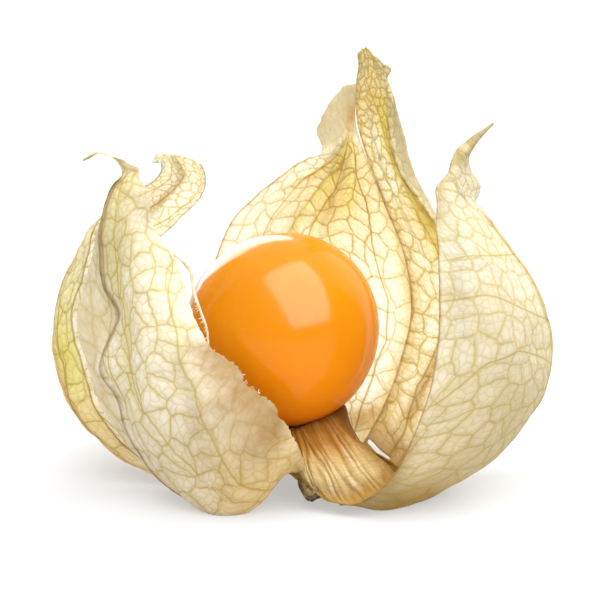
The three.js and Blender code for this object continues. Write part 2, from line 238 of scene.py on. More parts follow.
# %% [markdown]
# ## The way a dried husk wrinkles
#
# A live calyx is flat between its ribs. As it dries, the membrane between the veins shrinks
# more than the veins do, so the sheet is thrown into long folds that run along it, and all
# of it crumples a little. These are heights added along the sheet's normal: one for each
# fold, a broad crumple and a fine one. A Displace modifier with textures could do it, but
# plain formulas in the mesh keep each fold on its own line.

# %% Heights of folds and crumples, in millimetres
WALL = 0.12
REACHES = 3         # how many reaches away from its line or spot a fold or a pull is still felt
FOLD_FADE = 0.05    # share of the lobe's length over which a fold rises and dies away


def wander(knots, v):
    """Place across of a line that runs along the lobe, given as (along, across) knots."""
    if v <= knots[0][0]:
        return knots[0][1]
    for (v0, u0), (v1, u1) in zip(knots, knots[1:]):
        if v <= v1:
            return u0 + (u1 - u0) * (v - v0) / (v1 - v0)
    return knots[-1][1]


def fold_weight(fold, u, v, width):
    """How strongly a fold acts at one place: 1 on its line, fading to its sides and ends."""
    knots, reach = fold[0], fold[1]
    off = (u - wander(knots, v)) * width / reach
    if abs(off) > REACHES:
        return 0.0
    to_end = min(v - knots[0][0], knots[-1][0] - v)
    into = min(1.0, max(0.0, to_end / FOLD_FADE))
    return math.exp(-off * off) * into * into * (3 - 2 * into)


def crumple_height(point, coarse, fine, seed):
    """Three sizes of crumple, read from the place so that neighbours crumple together."""
    shift = Vector((seed * 7.3, seed * 3.1, 0))
    broad = noise.noise(point * 0.2 + shift)
    small = noise.noise(point * 0.55 + shift * 2)
    tiny = noise.noise(point * 1.6 + shift * 3)
    return coarse * broad + coarse * 0.4 * small + fine * tiny


def torn(position, seed, depth, pitch=14):
    """How far a torn edge is bitten back at one place along it, from 0 to about depth."""
    wave = noise.noise(Vector((position * pitch, seed * 5.7, 0)))
    snag = noise.noise(Vector((position * pitch * 4.5, seed * 2.3, 4)))
    nick = noise.noise(Vector((position * pitch * 11, seed * 3.9, 8)))
    return depth * max(0.0, 0.35 + wave * 0.9 + abs(snag) * 0.7 + abs(nick) * 0.35)


# %% [markdown]
# ## One lobe from its ribs
#
# A grid is the right start for a sheet: its two directions become across and along the lobe,
# and its corner coordinates become the UV map `Lobe`, which the veins are drawn on. Each
# vertex moves onto the sheet, then out along the normal by the heights above. A Solidify
# modifier gives the paper its thickness, so the lobe is a closed shell and not a bare surface.

# %% Sheet builder
NO_VEIN = 99.0      # stands for a vein that is nowhere near, in millimetres


def new_object(name, mesh_data):
    """Finish a bmesh as an object in the scene."""
    mesh = bpy.data.meshes.new(name)
    mesh_data.to_mesh(mesh)
    mesh_data.free()
    made = bpy.data.objects.new(name, mesh)
    bpy.context.scene.collection.objects.link(made)
    return made


def new_piece(name, mesh_data):
    """Finish a bmesh as a smooth piece that rides on the one body."""
    made = new_object(name, mesh_data)
    for face in made.data.polygons:
        face.use_smooth = True
    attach(made, "root")
    return made


def lay_grid(columns, rows):
    """A grid with its layers, and the across and along place of every vertex."""
    sheet = bmesh.new()
    sheet.loops.layers.uv.new("Lobe")
    sheet.loops.layers.uv.new("Paper")
    sheet.verts.layers.float_color.new("Tint")
    sheet.verts.layers.float_vector.new("Way To Vein")
    uv = sheet.loops.layers.uv["Lobe"]
    bmesh.ops.create_grid(sheet, x_segments=columns, y_segments=rows, size=0.5)
    for face in sheet.faces:
        for corner in face.loops:
            corner[uv].uv = (corner.vert.co.x + 0.5, corner.vert.co.y + 0.5)
    places = [(vert, vert.co.x + 0.5, vert.co.y + 0.5) for vert in sheet.verts]
    return sheet, places


def stretch(places, ribs, crease, edges, seed):
    """Move a grid onto the ribs, with its free edges bitten back as torn paper is."""
    left, right, tip = edges
    lines = [[Vector(point) for point in rib] for rib in ribs]
    for vert, u, v in places:
        bite_left = torn(v, seed, left)
        bite_right = torn(v, seed + 1, right)
        u_torn = bite_left + u * (1 - bite_left - bite_right)
        v_torn = v * (1 - torn(u, seed + 2, tip, pitch=9))
        row = [along(line, v_torn) for line in lines]
        vert.co = across(row, u_torn, crease)


def off_spot(u, v, spot, reach):
    """Squared distance from a spot, counted in its own reaches across and along."""
    return ((u - spot[0]) / reach[0]) ** 2 + ((v - spot[1]) / reach[1]) ** 2


def pulled(point, u, v, pulls):
    """A point drawn out by the pulls: each pull is (u, v), its reach (u, v) and the move in millimetres."""
    for spot, reach, move in pulls:
        off = off_spot(u, v, spot, reach)
        if off < REACHES ** 2:
            point = point + Vector(move) * math.exp(-off)
    return point


def way_to_line(x, y, line):
    """Distance from a point to a line of corners, with a sign for the side it is on."""
    nearest = (math.inf, NO_VEIN)
    for (x0, y0), (x1, y1) in zip(line, line[1:]):
        run_x, run_y = x1 - x0, y1 - y0
        t = ((x - x0) * run_x + (y - y0) * run_y) / (run_x ** 2 + run_y ** 2 + 1e-9)
        t = min(1.0, max(0.0, t))
        off_x, off_y = x - x0 - t * run_x, y - y0 - t * run_y
        off = math.hypot(off_x, off_y)
        if off < nearest[0]:
            nearest = (off, math.copysign(off, run_x * off_y - run_y * off_x))
    return nearest[1]


def measure_paper(sheet, places, veins=()):
    """Write the map `Paper`, in millimetres on the flattened sheet, and the way to the veins."""
    rows = {}
    for vert, u, v in places:
        rows.setdefault(round(v, 5), []).append((u, vert))
    flat = {}
    widths = {}
    climbs = {}
    travelled = 0.0
    last_middle = None
    for v in sorted(rows):
        row = [vert for u, vert in sorted(rows[v], key=lambda item: item[0])]
        middle = row[len(row) // 2].co.copy()
        if last_middle is not None:
            travelled += (middle - last_middle).length
        last_middle = middle
        steps = [0.0]
        for one, two in zip(row, row[1:]):
            steps.append(steps[-1] + (two.co - one.co).length)
        for vert, step in zip(row, steps):
            flat[vert] = (step - steps[-1] / 2, travelled)
        widths[v] = steps[-1]
        climbs[v] = travelled
    paper = sheet.loops.layers.uv["Paper"]
    for face in sheet.faces:
        for corner in face.loops:
            corner[paper].uv = flat[corner.vert]
    heights = sorted(rows)
    lines = []
    for knots in veins:
        line = []
        for v, u in knots:
            near = min(heights, key=lambda height: abs(height - v))
            line.append(((u - 0.5) * widths[near], climbs[near]))
        lines.append(line)
    to_vein = sheet.verts.layers.float_vector["Way To Vein"]
    for vert, u, v in places:
        ways = [way_to_line(*flat[vert], line) for line in lines]
        vert[to_vein] = (ways + [NO_VEIN] * 3)[:3]
    return widths


def paint_tint(sheet, places, finish, widths):
    """Paint the colour attribute `Tint`, with its stains and its painted shade. Its alpha is how strongly
    the veins show.
    """
    tint = sheet.verts.layers.float_color["Tint"]
    for vert, u, v in places:
        shade = Vector((1.0, 1.0, 1.0))
        veined = 1.0
        uneven = 1 + 0.35 * noise.noise(Vector((u * 7, v * 7, 2)))
        for spot_u, spot_v, reach_u, reach_v, strength, stain_and_shade in finish.get("spots", []):
            weight = math.exp(-off_spot(u, v, (spot_u, spot_v), (reach_u, reach_v)))
            shade = shade.lerp(Vector(stain_and_shade), min(1.0, strength * uneven * weight))
        for fold in finish.get("folds", []):
            weight = fold_weight(fold, u, v, widths[round(v, 5)])
            shade = shade.lerp(Vector(fold[4]), min(1.0, fold[3] * uneven * weight))
        for spot_u, spot_v, reach_u, reach_v, strength in finish.get("smooth", []):
            weight = math.exp(-off_spot(u, v, (spot_u, spot_v), (reach_u, reach_v)))
            veined *= 1 - strength * weight
        vert[tint] = (*shade, veined)


def cut_slits(sheet, slits):
    """Take out the faces along short tears; each is (u, v) to (u, v) and its half width in v."""
    uv = sheet.loops.layers.uv["Lobe"]
    gone = []
    for face in sheet.faces:
        u, v = face.loops[0][uv].uv
        for (u0, v0), (u1, v1), half in slits:
            t = (u - u0) / (u1 - u0)
            if 0 < t < 1 and abs(v - v0 - (v1 - v0) * t) < half * (4 * t * (1 - t)) ** 0.4:
                gone.append(face)
                break
    rim = {vert for face in gone for vert in face.verts}
    bmesh.ops.delete(sheet, geom=gone, context="FACES")
    rim = [vert for vert in rim if vert.is_valid]
    for _ in range(2):
        bmesh.ops.smooth_vert(sheet, verts=rim, factor=0.5,
                              use_axis_x=True, use_axis_y=True, use_axis_z=True)


def thicken(piece, wall):
    """Give a bare sheet the thickness of its paper, in millimetres, half to each side."""
    thickness = piece.modifiers.new("paper thickness", "SOLIDIFY")
    thickness.thickness = wall * MM
    thickness.offset = 0


def free_to_crumple(u, v, calm):
    """1 where the sheet may crumple freely, less at its foot and along a calm side."""
    free = min(1.0, v * 8)
    if calm is None:
        return free
    return min(free, abs(u - calm) * 6 + 0.1)


def make_lobe(name, coarse, fine, edges, seed):
    """One lobe of dry paper, from its ribs, its finish and its wear."""
    lobe = LOBES[name]
    finish = FINISH[name]
    sheet, places = lay_grid(COLUMNS, ROWS)
    stretch(places, lobe["ribs"], lobe.get("crease"), edges, seed)
    for vert, u, v in places:
        vert.co = pulled(vert.co, u, v, lobe["pulls"])
    widths = measure_paper(sheet, places, finish["veins"])
    paint_tint(sheet, places, finish, widths)
    sheet.normal_update()
    normals = [vert.normal.copy() for vert, u, v in places]
    for (vert, u, v), normal in zip(places, normals):
        free = free_to_crumple(u, v, lobe.get("calm"))
        height = free * crumple_height(vert.co, coarse, fine, seed)
        width = widths[round(v, 5)]
        height += free * sum(fold[2] * fold_weight(fold, u, v, width) for fold in finish["folds"])
        vert.co += normal * height * lobe["outward"]
        vert.co.z = max(vert.co.z, WALL / 2)
        vert.co = placed(vert.co)
    cut_slits(sheet, finish.get("slits", []))
    made = new_piece(name + "_paper", sheet)
    thicken(made, WALL)
    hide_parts(name)
    print(made.name, "faces", len(made.data.polygons), "widest mm", round(max(widths.values()), 1))
    return made


# %% [markdown]
# ## Veins, folds, stains and painted shade of each lobe
#
# `veins` are the main veins, each a line from foot to tip given by (along, across) knots.
# `folds` are (knots, reach, rise, colour strength, colour): reach and rise are in millimetres,
# and a rise above 0 stands out of the lantern. On some folds the colour is the paper's own tone
# and on others it is painted shade along the fold. `spots` are patches that follow no fold:
# some are stains, such as the tanned foot and tip, and some are painted shade or painted light
# from behind. `smooth` names the parts where the veins hardly show, as on the turned-over
# margins. Spots and smooth parts both begin with (across, along), then the reach across and
# along, and the strength. `slits` are short tears that let the light through.

# %% Veins, folds, stains and painted shade
TAN = (0.72, 0.58, 0.34)
DEEP_TAN = (0.56, 0.40, 0.17)
OLIVE = (0.88, 0.83, 0.48)
GREEN = (0.92, 0.90, 0.60)
# painted light: the saturated yellow of paper lit through from behind
BACKLIT_YELLOW = (0.80, 0.77, 0.33)
GREY = (0.86, 0.78, 0.61)
# painted shade: the grey of margins and tips turned back away from the light
FOLD_SHADE_GREY = (0.66, 0.60, 0.45)
MOSS = (0.78, 0.74, 0.38)
# painted shade: the orange shadow of the berry seen through the front left lobe
BERRY_SHADE_PEACH = (0.52, 0.36, 0.17)
# painted shade in the valley where the two back lobes meet
VALLEY_SHADE_PINK = (0.86, 0.76, 0.52)
# painted shade along the folded crease of the front left lobe
CREASE_SHADE_BROWN = (0.40, 0.27, 0.12)
BROWNISH = (0.62, 0.46, 0.22)
PALE_TAN = (0.88, 0.79, 0.53)
LIGHT_TAN = (1.0, 0.86, 0.54)
STRAW = (0.78, 0.74, 0.60)
HONEY = (0.76, 0.58, 0.22)
AMBER = (0.64, 0.44, 0.10)
# the tan of each lobe's foot, made darker still as painted shade near the floor
FOOT_TAN_AND_SHADE = (0.5, 0.0, 9.0, 0.1, 0.9, DEEP_TAN)

FINISH = {
    "sepal_front_left": {
        "veins": [
            [(0, 0.5), (0.12, 0.6), (0.2, 0.69), (0.28, 0.77), (0.375, 0.83), (0.5, 0.93), (0.6, 1.1)],
            [(0.2, 0.5), (0.3, 0.5), (0.41, 0.45), (0.5, 0.41), (0.575, 0.47), (0.75, 0.5), (1, 0.5)],
            [(0.22, 0.24), (0.5, 0.25), (1, 0.25)],
        ],
        "folds": [
            # painted shade: the yellow-green band along this valley fold
            ([(0.3, 0.5), (0.41, 0.45), (0.5, 0.41), (0.575, 0.47), (0.78, 0.5)], 1.3, -0.45, 0.8, GREEN),
            ([(0.1, 0.6), (0.2, 0.69), (0.28, 0.77), (0.375, 0.83), (0.5, 0.93)], 1.0, 0.3, 0.15, GREEN),
            # painted shade: the dark line along the folded crease
            ([(0.05, 0.25), (0.5, 0.25), (0.78, 0.25)], 0.35, 0.15, 0.75, CREASE_SHADE_BROWN),
        ],
        # painted shade: the grey on the folded strip at the left margin
        "spots": [FOOT_TAN_AND_SHADE, (0.1, 0.45, 0.13, 0.6, 0.7, GREY), (0.6, 0.68, 1.2, 0.16, 1.0, STRAW),
                  (0.5, 0.08, 0.8, 0.13, 1.0, LIGHT_TAN),
                  # painted shade of the berry behind, beside the torn right edge
                  (1.0, 0.345, 0.15, 0.04, 1.0, BERRY_SHADE_PEACH), (0.98, 0.29, 0.18, 0.05, 1.0, BERRY_SHADE_PEACH),
                  (0.97, 0.22, 0.26, 0.055, 1.0, BERRY_SHADE_PEACH), (0.95, 0.14, 0.26, 0.05, 1.0, BERRY_SHADE_PEACH),
                  (0.5, 0.72, 0.9, 0.05, 0.4, TAN), (0.5, 1.0, 1.0, 0.14, 0.6, TAN)],
        "smooth": [(0.1, 0.4, 0.12, 0.9, 0.7), (0.99, 0.3, 0.17, 0.1, 0.85), (0.97, 0.19, 0.24, 0.1, 0.8),
                   (0.5, 0.74, 0.9, 0.1, 0.4), (0.6, 0.0, 0.5, 0.09, 0.5)],
    },
    "sepal_left": {
        "veins": [
            [(0, 0.3), (0.25, 0.2), (0.45, 0.2), (0.6, 0.3), (0.8, 0.2), (1, 0.3)],
            [(0, 0.5), (0.58, 0.5), (1, 0.5)],
            [(0, 0.7), (0.4, 0.75), (0.65, 0.8), (1, 0.85)],
        ],
        "folds": [
            # painted shade: the tan beside the fold at this lobe's curled tip
            ([(0.64, 0.42), (0.75, 0.44), (0.9, 0.46), (1.02, 0.48)], 0.6, 0.0, 0.5, TAN),
            ([(0.1, 0.25), (0.4, 0.27), (0.58, 0.35)], 1.5, 0.3, 0.0, GREEN),
            ([(0.15, 0.2), (0.3, 0.22), (0.45, 0.27), (0.55, 0.25)], 0.45, 0.0, 0.9, TAN),
        ],
        # painted light: the yellow of this face lit through from behind
        "spots": [FOOT_TAN_AND_SHADE, (0.15, 0.37, 0.3, 0.22, 0.8, BACKLIT_YELLOW), (0.25, 0.21, 0.4, 0.08, 0.7, TAN)],
    },
    "sepal_back_left": {
        "veins": [
            [(0, 0.8), (0.38, 0.9), (0.46, 0.875), (0.55, 0.83), (0.675, 0.85), (0.82, 0.82), (0.88, 0.78)],
            [(0, 0.45), (0.45, 0.45), (0.55, 0.5), (0.61, 0.54), (0.7, 0.61), (0.8, 0.66), (0.88, 0.72)],
            [(0, 0.2), (0.5, 0.2), (0.7, 0.3), (0.82, 0.5), (0.88, 0.65)],
        ],
        "folds": [
            # the moss colour along this fold is partly its vein and partly painted shade beside the fold
            ([(0.45, 0.42), (0.58, 0.46), (0.66, 0.52), (0.78, 0.6), (0.9, 0.7)], 0.5, 0.6, 0.7, MOSS),
            ([(0.3, 0.0), (0.6, 0.0), (0.84, 0.0)], 0.25, 0.0, 0.7, TAN),
            ([(0.5, 0.58), (0.57, 0.6), (0.68, 0.62), (0.8, 0.67), (0.9, 0.73)], 0.6, -0.6, 0.0, GREEN),
            ([(0.6, 0.74), (0.75, 0.76), (0.9, 0.78)], 0.6, 0.5, 0.6, OLIVE),
            ([(0.7, 0.86), (0.8, 0.86), (0.9, 0.82)], 0.45, -0.4, 0.0, GREEN),
            ([(0.66, 0.2), (0.76, 0.4), (0.9, 0.66)], 0.5, 0.5, 0.6, OLIVE),
            ([(0.7, 0.32), (0.8, 0.5), (0.9, 0.69)], 0.4, -0.4, 0.0, GREEN),
            # painted shade along the valley shared with the other back lobe
            ([(0.1, 1.0), (0.5, 1.0), (0.84, 1.0)], 1.1, 0.0, 0.8, VALLEY_SHADE_PINK),
        ],
        "spots": [FOOT_TAN_AND_SHADE, (0.6, 0.93, 0.5, 0.05, 0.6, OLIVE), (0.95, 0.2, 0.2, 0.025, 1.0, TAN),
                  # the grey patches near the tip on these lines are painted shade on the turned-back tip
                  (0.65, 0.7, 0.35, 0.16, 1.0, PALE_TAN), (0.3, 1.0, 1.5, 0.1, 1.6, FOLD_SHADE_GREY),
                  (0.75, 0.93, 0.14, 0.04, 0.6, TAN),
                  (0.9, 0.97, 0.5, 0.06, 0.9, FOLD_SHADE_GREY), (0.88, 0.93, 0.13, 0.025, 0.9, BROWNISH)],
        "smooth": [(0.4, 1.0, 2.0, 0.11, 1.0), (0.4, 0.95, 1.5, 0.05, 0.8), (1.0, 0.9, 0.12, 0.1, 0.8),
                   (0.1, 0.6, 0.4, 0.3, 0.45), (1.0, 0.5, 0.1, 0.4, 0.5)],
    },
    "sepal_back_right": {
        "veins": [
            [(0.3, 0.62), (0.36, 0.5), (0.42, 0.56), (0.5, 0.75), (0.58, 0.9)],
            [(0, 0.4), (0.45, 0.42), (0.6, 0.48), (0.7, 0.55), (0.78, 0.54), (0.84, 0.43), (0.91, 0.28)],
            [(0, 0.25), (0.3, 0.2), (0.36, 0.25), (0.42, 0.32), (0.55, 0.5), (0.6, 0.62), (0.8, 0.7)],
        ],
        "folds": [
            # painted shade along the valley shared with the other back lobe
            ([(0.15, 0.0), (0.5, 0.0), (0.84, 0.0)], 0.9, 0.0, 0.8, VALLEY_SHADE_PINK),
            ([(0.2, 0.22), (0.45, 0.25), (0.7, 0.26), (0.86, 0.2)], 1.0, -0.6, 0.0, GREEN),
            ([(0.4, 0.5), (0.6, 0.55), (0.7, 0.62), (0.82, 0.62), (0.9, 0.5)], 1.2, 0.15, 1.0, OLIVE),
            # painted shade: the tan along these two ridges stands for the shade beside them
            ([(0.2, 0.2), (0.3, 0.2), (0.36, 0.25), (0.45, 0.36)], 0.6, 0.4, 0.7, TAN),
            ([(0.28, 0.3), (0.36, 0.42), (0.45, 0.6), (0.55, 0.66)], 0.6, 0.4, 0.7, TAN),
            # painted shade on the folded-back strip
            ([(0.6, 0.95), (0.7, 0.93), (0.9, 0.93)], 1.1, 0.0, 1.0, FOLD_SHADE_GREY),
        ],
        "spots": [FOOT_TAN_AND_SHADE, (0.5, 0.2, 0.7, 0.09, 0.25, PALE_TAN),
                  (0.4, 1.0, 0.9, 0.13, 0.6, PALE_TAN), (0.3, 0.87, 0.9, 0.06, 0.7, PALE_TAN),
                  (0.75, 0.62, 0.25, 0.1, 0.6, OLIVE),
                  # painted shade: the brown just below the slit
                  (0.15, 0.178, 0.6, 0.03, 1.0, TAN), (0.2, 0.145, 0.5, 0.02, 1.2, BROWNISH)],
        "smooth": [(0.95, 0.72, 0.13, 0.16, 1.0), (0.95, 0.82, 0.13, 0.1, 0.8),
                   (0.2, 0.15, 0.6, 0.018, 0.9), (0.62, 0.62, 0.1, 0.12, 0.6)],
        "slits": [((0.015, 0.1526), (0.23, 0.1526), 0.003)],
    },
    "sepal_right": {
        "veins": [
            [(0.583, 0.04), (0.583, 0.08), (0.592, 0.27), (0.605, 0.62), (0.6, 1.0)],
            [(0.508, 0.02), (0.515, 0.19), (0.508, 0.26), (0.5, 0.4), (0.483, 0.53), (0.47, 0.9)],
            [(0.33, 0.03), (0.4, 0.2), (0.42, 0.36), (0.41, 0.56), (0.38, 0.9)],
        ],
        "folds": [
            ([(0.02, 0.0), (0.15, 0.0), (0.3, 0.0)], 1.2, 0.0, 0.8, TAN),
            ([(0.4, 0.0), (0.7, 0.0), (0.9, 0.0)], 0.35, 0.1, 0.5, TAN),
            ([(0.6, 0.0), (0.68, 0.04), (0.8, 0.1), (0.98, 0.2)], 0.9, 0.25, 0.8, GREY),
            ([(0.3, 0.13), (0.45, 0.16), (0.6, 0.2)], 1.2, 0.2, 0.0, GREEN),
            ([(0.7, 0.6), (0.76, 0.4), (0.82, 0.15)], 0.35, 0.25, 0.5, GREY),
            # painted shade: the tan line where the sheet curves round out of sight
            ([(0.15, 0.68), (0.3, 0.69), (0.5, 0.655), (0.64, 0.635), (0.72, 0.61)], 0.5, 0.0, 0.9, TAN),
        ],
        # the honey colour at the foot is partly the paper's own tan and partly painted shade near the floor
        "spots": [FOOT_TAN_AND_SHADE, (0.5, 0.05, 0.9, 0.16, 1.2, HONEY),
                  (0.3, 0.15, 0.35, 0.04, 0.9, AMBER), (0.5, 0.28, 0.9, 0.16, 0.5, PALE_TAN),
                  (0.5, 0.93, 1.5, 0.08, 0.7, TAN), (0.72, 0.48, 0.08, 0.3, 0.4, PALE_TAN)],
        "smooth": [(0.1, 0.72, 0.1, 0.12, 0.6), (0.5, 1.0, 1.0, 0.08, 0.6), (0.4, 0.1, 0.6, 0.1, 0.6)],
    },
}
print("folds:", {name: len(finish["folds"]) for name, finish in FINISH.items()})

# %% [markdown]
# ## Making the lobes
#
# Each lobe also has its own amount of crumple and its own torn edges, given as the depth of
# the bites on its left side, right side and tip. The front left lobe was torn down its right
# side, so that edge is the most ragged.

# %% The five lobes
COLUMNS = 96
ROWS = 190
TEAR_DEPTH = 0.038

WEAR = {
    "sepal_front_left": {"coarse": 0.35, "fine": 0.05, "edges": (0.01, TEAR_DEPTH, 0.0)},
    "sepal_left": {"coarse": 0.35, "fine": 0.05, "edges": (0.01, 0.03, 0.01)},
    "sepal_back_left": {"coarse": 0.4, "fine": 0.06, "edges": (0.01, 0.0, 0.01)},
    "sepal_back_right": {"coarse": 0.35, "fine": 0.06, "edges": (0.0, 0.01, 0.01)},
    "sepal_right": {"coarse": 0.25, "fine": 0.03, "edges": (0.006, 0.02, 0.0)},
}
papers = {}
for seed, (name, wear) in enumerate(WEAR.items(), 1):
    papers[name] = make_lobe(name, seed=seed, **wear)

# %% [markdown]
# ## The foot
#
# All five sepals join in the foot, a small dome with the stalk under it. Inside it is drawn
# into sharp pleats that run down from the stalk, so it is a sheet round a ring of short ribs,
# with a pleat height that swings up and down many times on the way round, and less where the
# foot passes the short tear. The grid's two side edges meet, so their doubles are merged and
# the seam is closed.

# %% Foot with pleats
FOOT_RIBS = [
    [(-.6, -3.2, 6.3), (-1.5, -4.2, 6.5), (-1.3, -7, 5.8), (-.9, -8.6, 5), (-.4, -9.6, 4.1),
     (.1, -10.1, 3.2), (.5, -10.2, 2.5)],
    [(-.2, -3.4, 6.3), (-.8, -4.4, 6.6), (-.3, -7.4, 5.9), (.1, -9.2, 4.9), (.6, -10.3, 3.8),
     (1.3, -10.6, 2.5), (2, -10.9, 1.5)],
    [(.3, -3.2, 6.4), (-.1, -4.3, 6.9), (.7, -7.4, 6), (1.3, -9.4, 4.9), (1.9, -10.6, 3.6),
     (2.5, -11, 2), (3.4, -11.8, 1.3)],
    [(1, -2.9, 6.6), (.9, -4, 7.2), (2, -7.2, 6), (2.9, -9.4, 4.9), (3.6, -10.8, 3.6),
     (4.3, -11.2, 2.2), (5.2, -12.4, 1.4)],
    [(1.8, -2.4, 6.8), (1.9, -3.5, 7.5), (3.3, -6.6, 6.3), (4.4, -9, 5.2), (5.2, -10.6, 4.2),
     (6, -11.4, 3.1), (6.7, -12.8, 2.2)],
    [(2.5, -1.9, 7), (2.9, -2.8, 7.8), (4.3, -5.6, 6.6), (5.6, -7.8, 5.7), (6.7, -9.8, 4.9),
     (7.7, -11.6, 3.9), (8.4, -12.9, 3.4)],
    [(3, -1.3, 7.2), (3.6, -2.2, 8.1), (4.8, -4.3, 6.4), (6.1, -6.3, 5.4), (7.5, -8.5, 4.9),
     (8.8, -11.3, 4.4), (9.3, -12.7, 4.3)],
    [(3.4, -.8, 7.4), (4.1, -1.5, 8.3), (5, -3.1, 6.2), (5.9, -4.6, 5), (7.2, -6.8, 4.4),
     (8.6, -9.7, 4.7), (9.2, -11.9, 5.3)],
    [(3.1, -.2, 7), (3.6, -.3, 6.8), (4, -.5, 6.2), (4.3, -.7, 5.6), (4.6, -.9, 5),
     (4.8, -1, 4.6), (5, -1.1, 4.3)],
    [(1.8, .2, 6.6), (2, .3, 6.4), (2.2, .4, 6), (2.4, .5, 5.5), (2.5, .6, 5), (2.6, .6, 4.6),
     (2.6, .6, 4.3)],
    [(.2, 0, 6.4), (.1, .1, 6.2), (0, .3, 5.8), (-.1, .5, 5.4), (-.3, .6, 5), (-.4, .7, 4.6),
     (-.4, .8, 4.3)],
    [(-.9, -1, 6.3), (-1.2, -1, 6.1), (-1.5, -1, 5.7), (-1.8, -.9, 5.3), (-2.1, -.9, 4.9),
     (-2.3, -.9, 4.6), (-2.4, -.9, 4.3)],
    [(-1.1, -2.3, 6.3), (-1.5, -2.4, 6.1), (-1.9, -2.6, 5.7), (-2.3, -2.8, 5.2),
     (-2.6, -2.9, 4.8), (-2.8, -3, 4.5), (-2.9, -3, 4.2)],
    [(-1, -3, 6.3), (-1.6, -3.6, 6.1), (-2, -4.4, 5.6), (-2.2, -5, 5), (-2.4, -5.3, 4.5),
     (-2.5, -5.5, 4), (-2.6, -5.6, 3.6)],
]
FOOT_COLUMNS = 300
FOOT_ROWS = 50
FOOT_PLEATS = 24
PLEAT_HEIGHT = 0.2
SHALLOW_AT = 0.47       # place on the way round where the pleats are shallowest
FOOT_WALL = 0.14


def ring(points, t):
    """Point on the smooth closed curve through the points."""
    count = len(points)
    place = (t % 1.0) * count
    k = int(place) % count
    around = [points[(k + step) % count] for step in (-1, 0, 1, 2)]
    return along(around, (1 + place - int(place)) / 3)


def pleat_height(u, v):
    """Height of the pleats at one place, which sway and fade as they run outwards."""
    around = Vector((math.cos(u * math.tau), math.sin(u * math.tau), 0))
    sway = 1.6 * noise.noise(around * 3 + Vector((0, 0, v * 1.5)))
    swing = math.sin(math.tau * (FOOT_PLEATS * u + sway))
    strength = 0.35 + 1.1 * max(0.0, noise.noise(around * 6 + Vector((3, 0, v * 2.2))) + 0.25)
    strength *= 1 - 0.5 * math.exp(-((u - SHALLOW_AT) / 0.08) ** 2)
    return PLEAT_HEIGHT * swing * strength * min(1.0, v * 3) * min(1.0, (1.02 - v) * 3)


def make_foot():
    sheet, places = lay_grid(FOOT_COLUMNS, FOOT_ROWS)
    lines = [[Vector(point) for point in rib] for rib in FOOT_RIBS]
    for vert, u, v in places:
        vert.co = ring([along(line, v) for line in lines], u)
    measure_paper(sheet, places)
    paint_tint(sheet, places, {}, {})
    bmesh.ops.remove_doubles(sheet, verts=sheet.verts, dist=1e-4)
    bmesh.ops.recalc_face_normals(sheet, faces=sheet.faces)
    sheet.normal_update()
    for vert, u, v in places:
        if not vert.is_valid:
            continue
        height = pleat_height(u, v)
        height += 0.16 * noise.noise(vert.co * 0.9) + 0.05 * noise.noise(vert.co * 2.5)
        vert.co += vert.normal * height
        vert.co = placed(vert.co)
    made = new_piece("husk_foot_pleats", sheet)
    thicken(made, FOOT_WALL)
    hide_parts("husk_foot")
    print(made.name, "faces", len(made.data.polygons))
    return made


foot = make_foot()

# %% [markdown]
# ## The berry
#
# The berry is nearly a ball, slimmer towards its stalk. A UV sphere bent by a taper keeps its
# poles on the fruit's own axis. A slight unevenness of the skin breaks up its highlights, as
# on a real fruit.

# %% Berry
BERRY_RADIUS = 9.7
BERRY_CENTRE = Vector((-2, 0, 15.8))
STALK_TOP = Vector((1, -4.5, 6.9))
BERRY_TAPER = 0.035


def make_berry():
    ball = bmesh.new()
    bmesh.ops.create_uvsphere(ball, u_segments=120, v_segments=72, radius=BERRY_RADIUS)
    axis = (BERRY_CENTRE - STALK_TOP).normalized()
    turn = Vector((0, 0, 1)).rotation_difference(axis)
    for vert in ball.verts:
        height = vert.co.z / BERRY_RADIUS
        slim = 1 + BERRY_TAPER * height
        vert.co.x *= slim
        vert.co.y *= slim
        vert.co *= 1 + 0.006 * noise.noise(vert.co * 0.16)
        vert.co = placed(turn @ vert.co + BERRY_CENTRE)
    made = new_piece("berry_fruit", ball)
    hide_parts("berry")
    print(made.name, "across mm", round(made.dimensions.x / MM, 1))
    return made


berry = make_berry()

# %% [markdown]
# ## The stalk
#
# The stalk dried and was snapped off, so it is a short stub with lengthwise furrows and a
# ragged end. A circle is extruded along its bend ring by ring, and the rings take their size
# and furrows from a small formula.

# %% Stalk
STALK_ROUTE = [Vector(point) for point in (
    (1, -4.3, 6), (0.4, -6.2, 4.8), (0.2, -8.2, 3.5), (1.3, -9.9, 1.6))]
STALK_RADIUS = 1.05
STALK_RINGS = 26
STALK_SIDES = 28


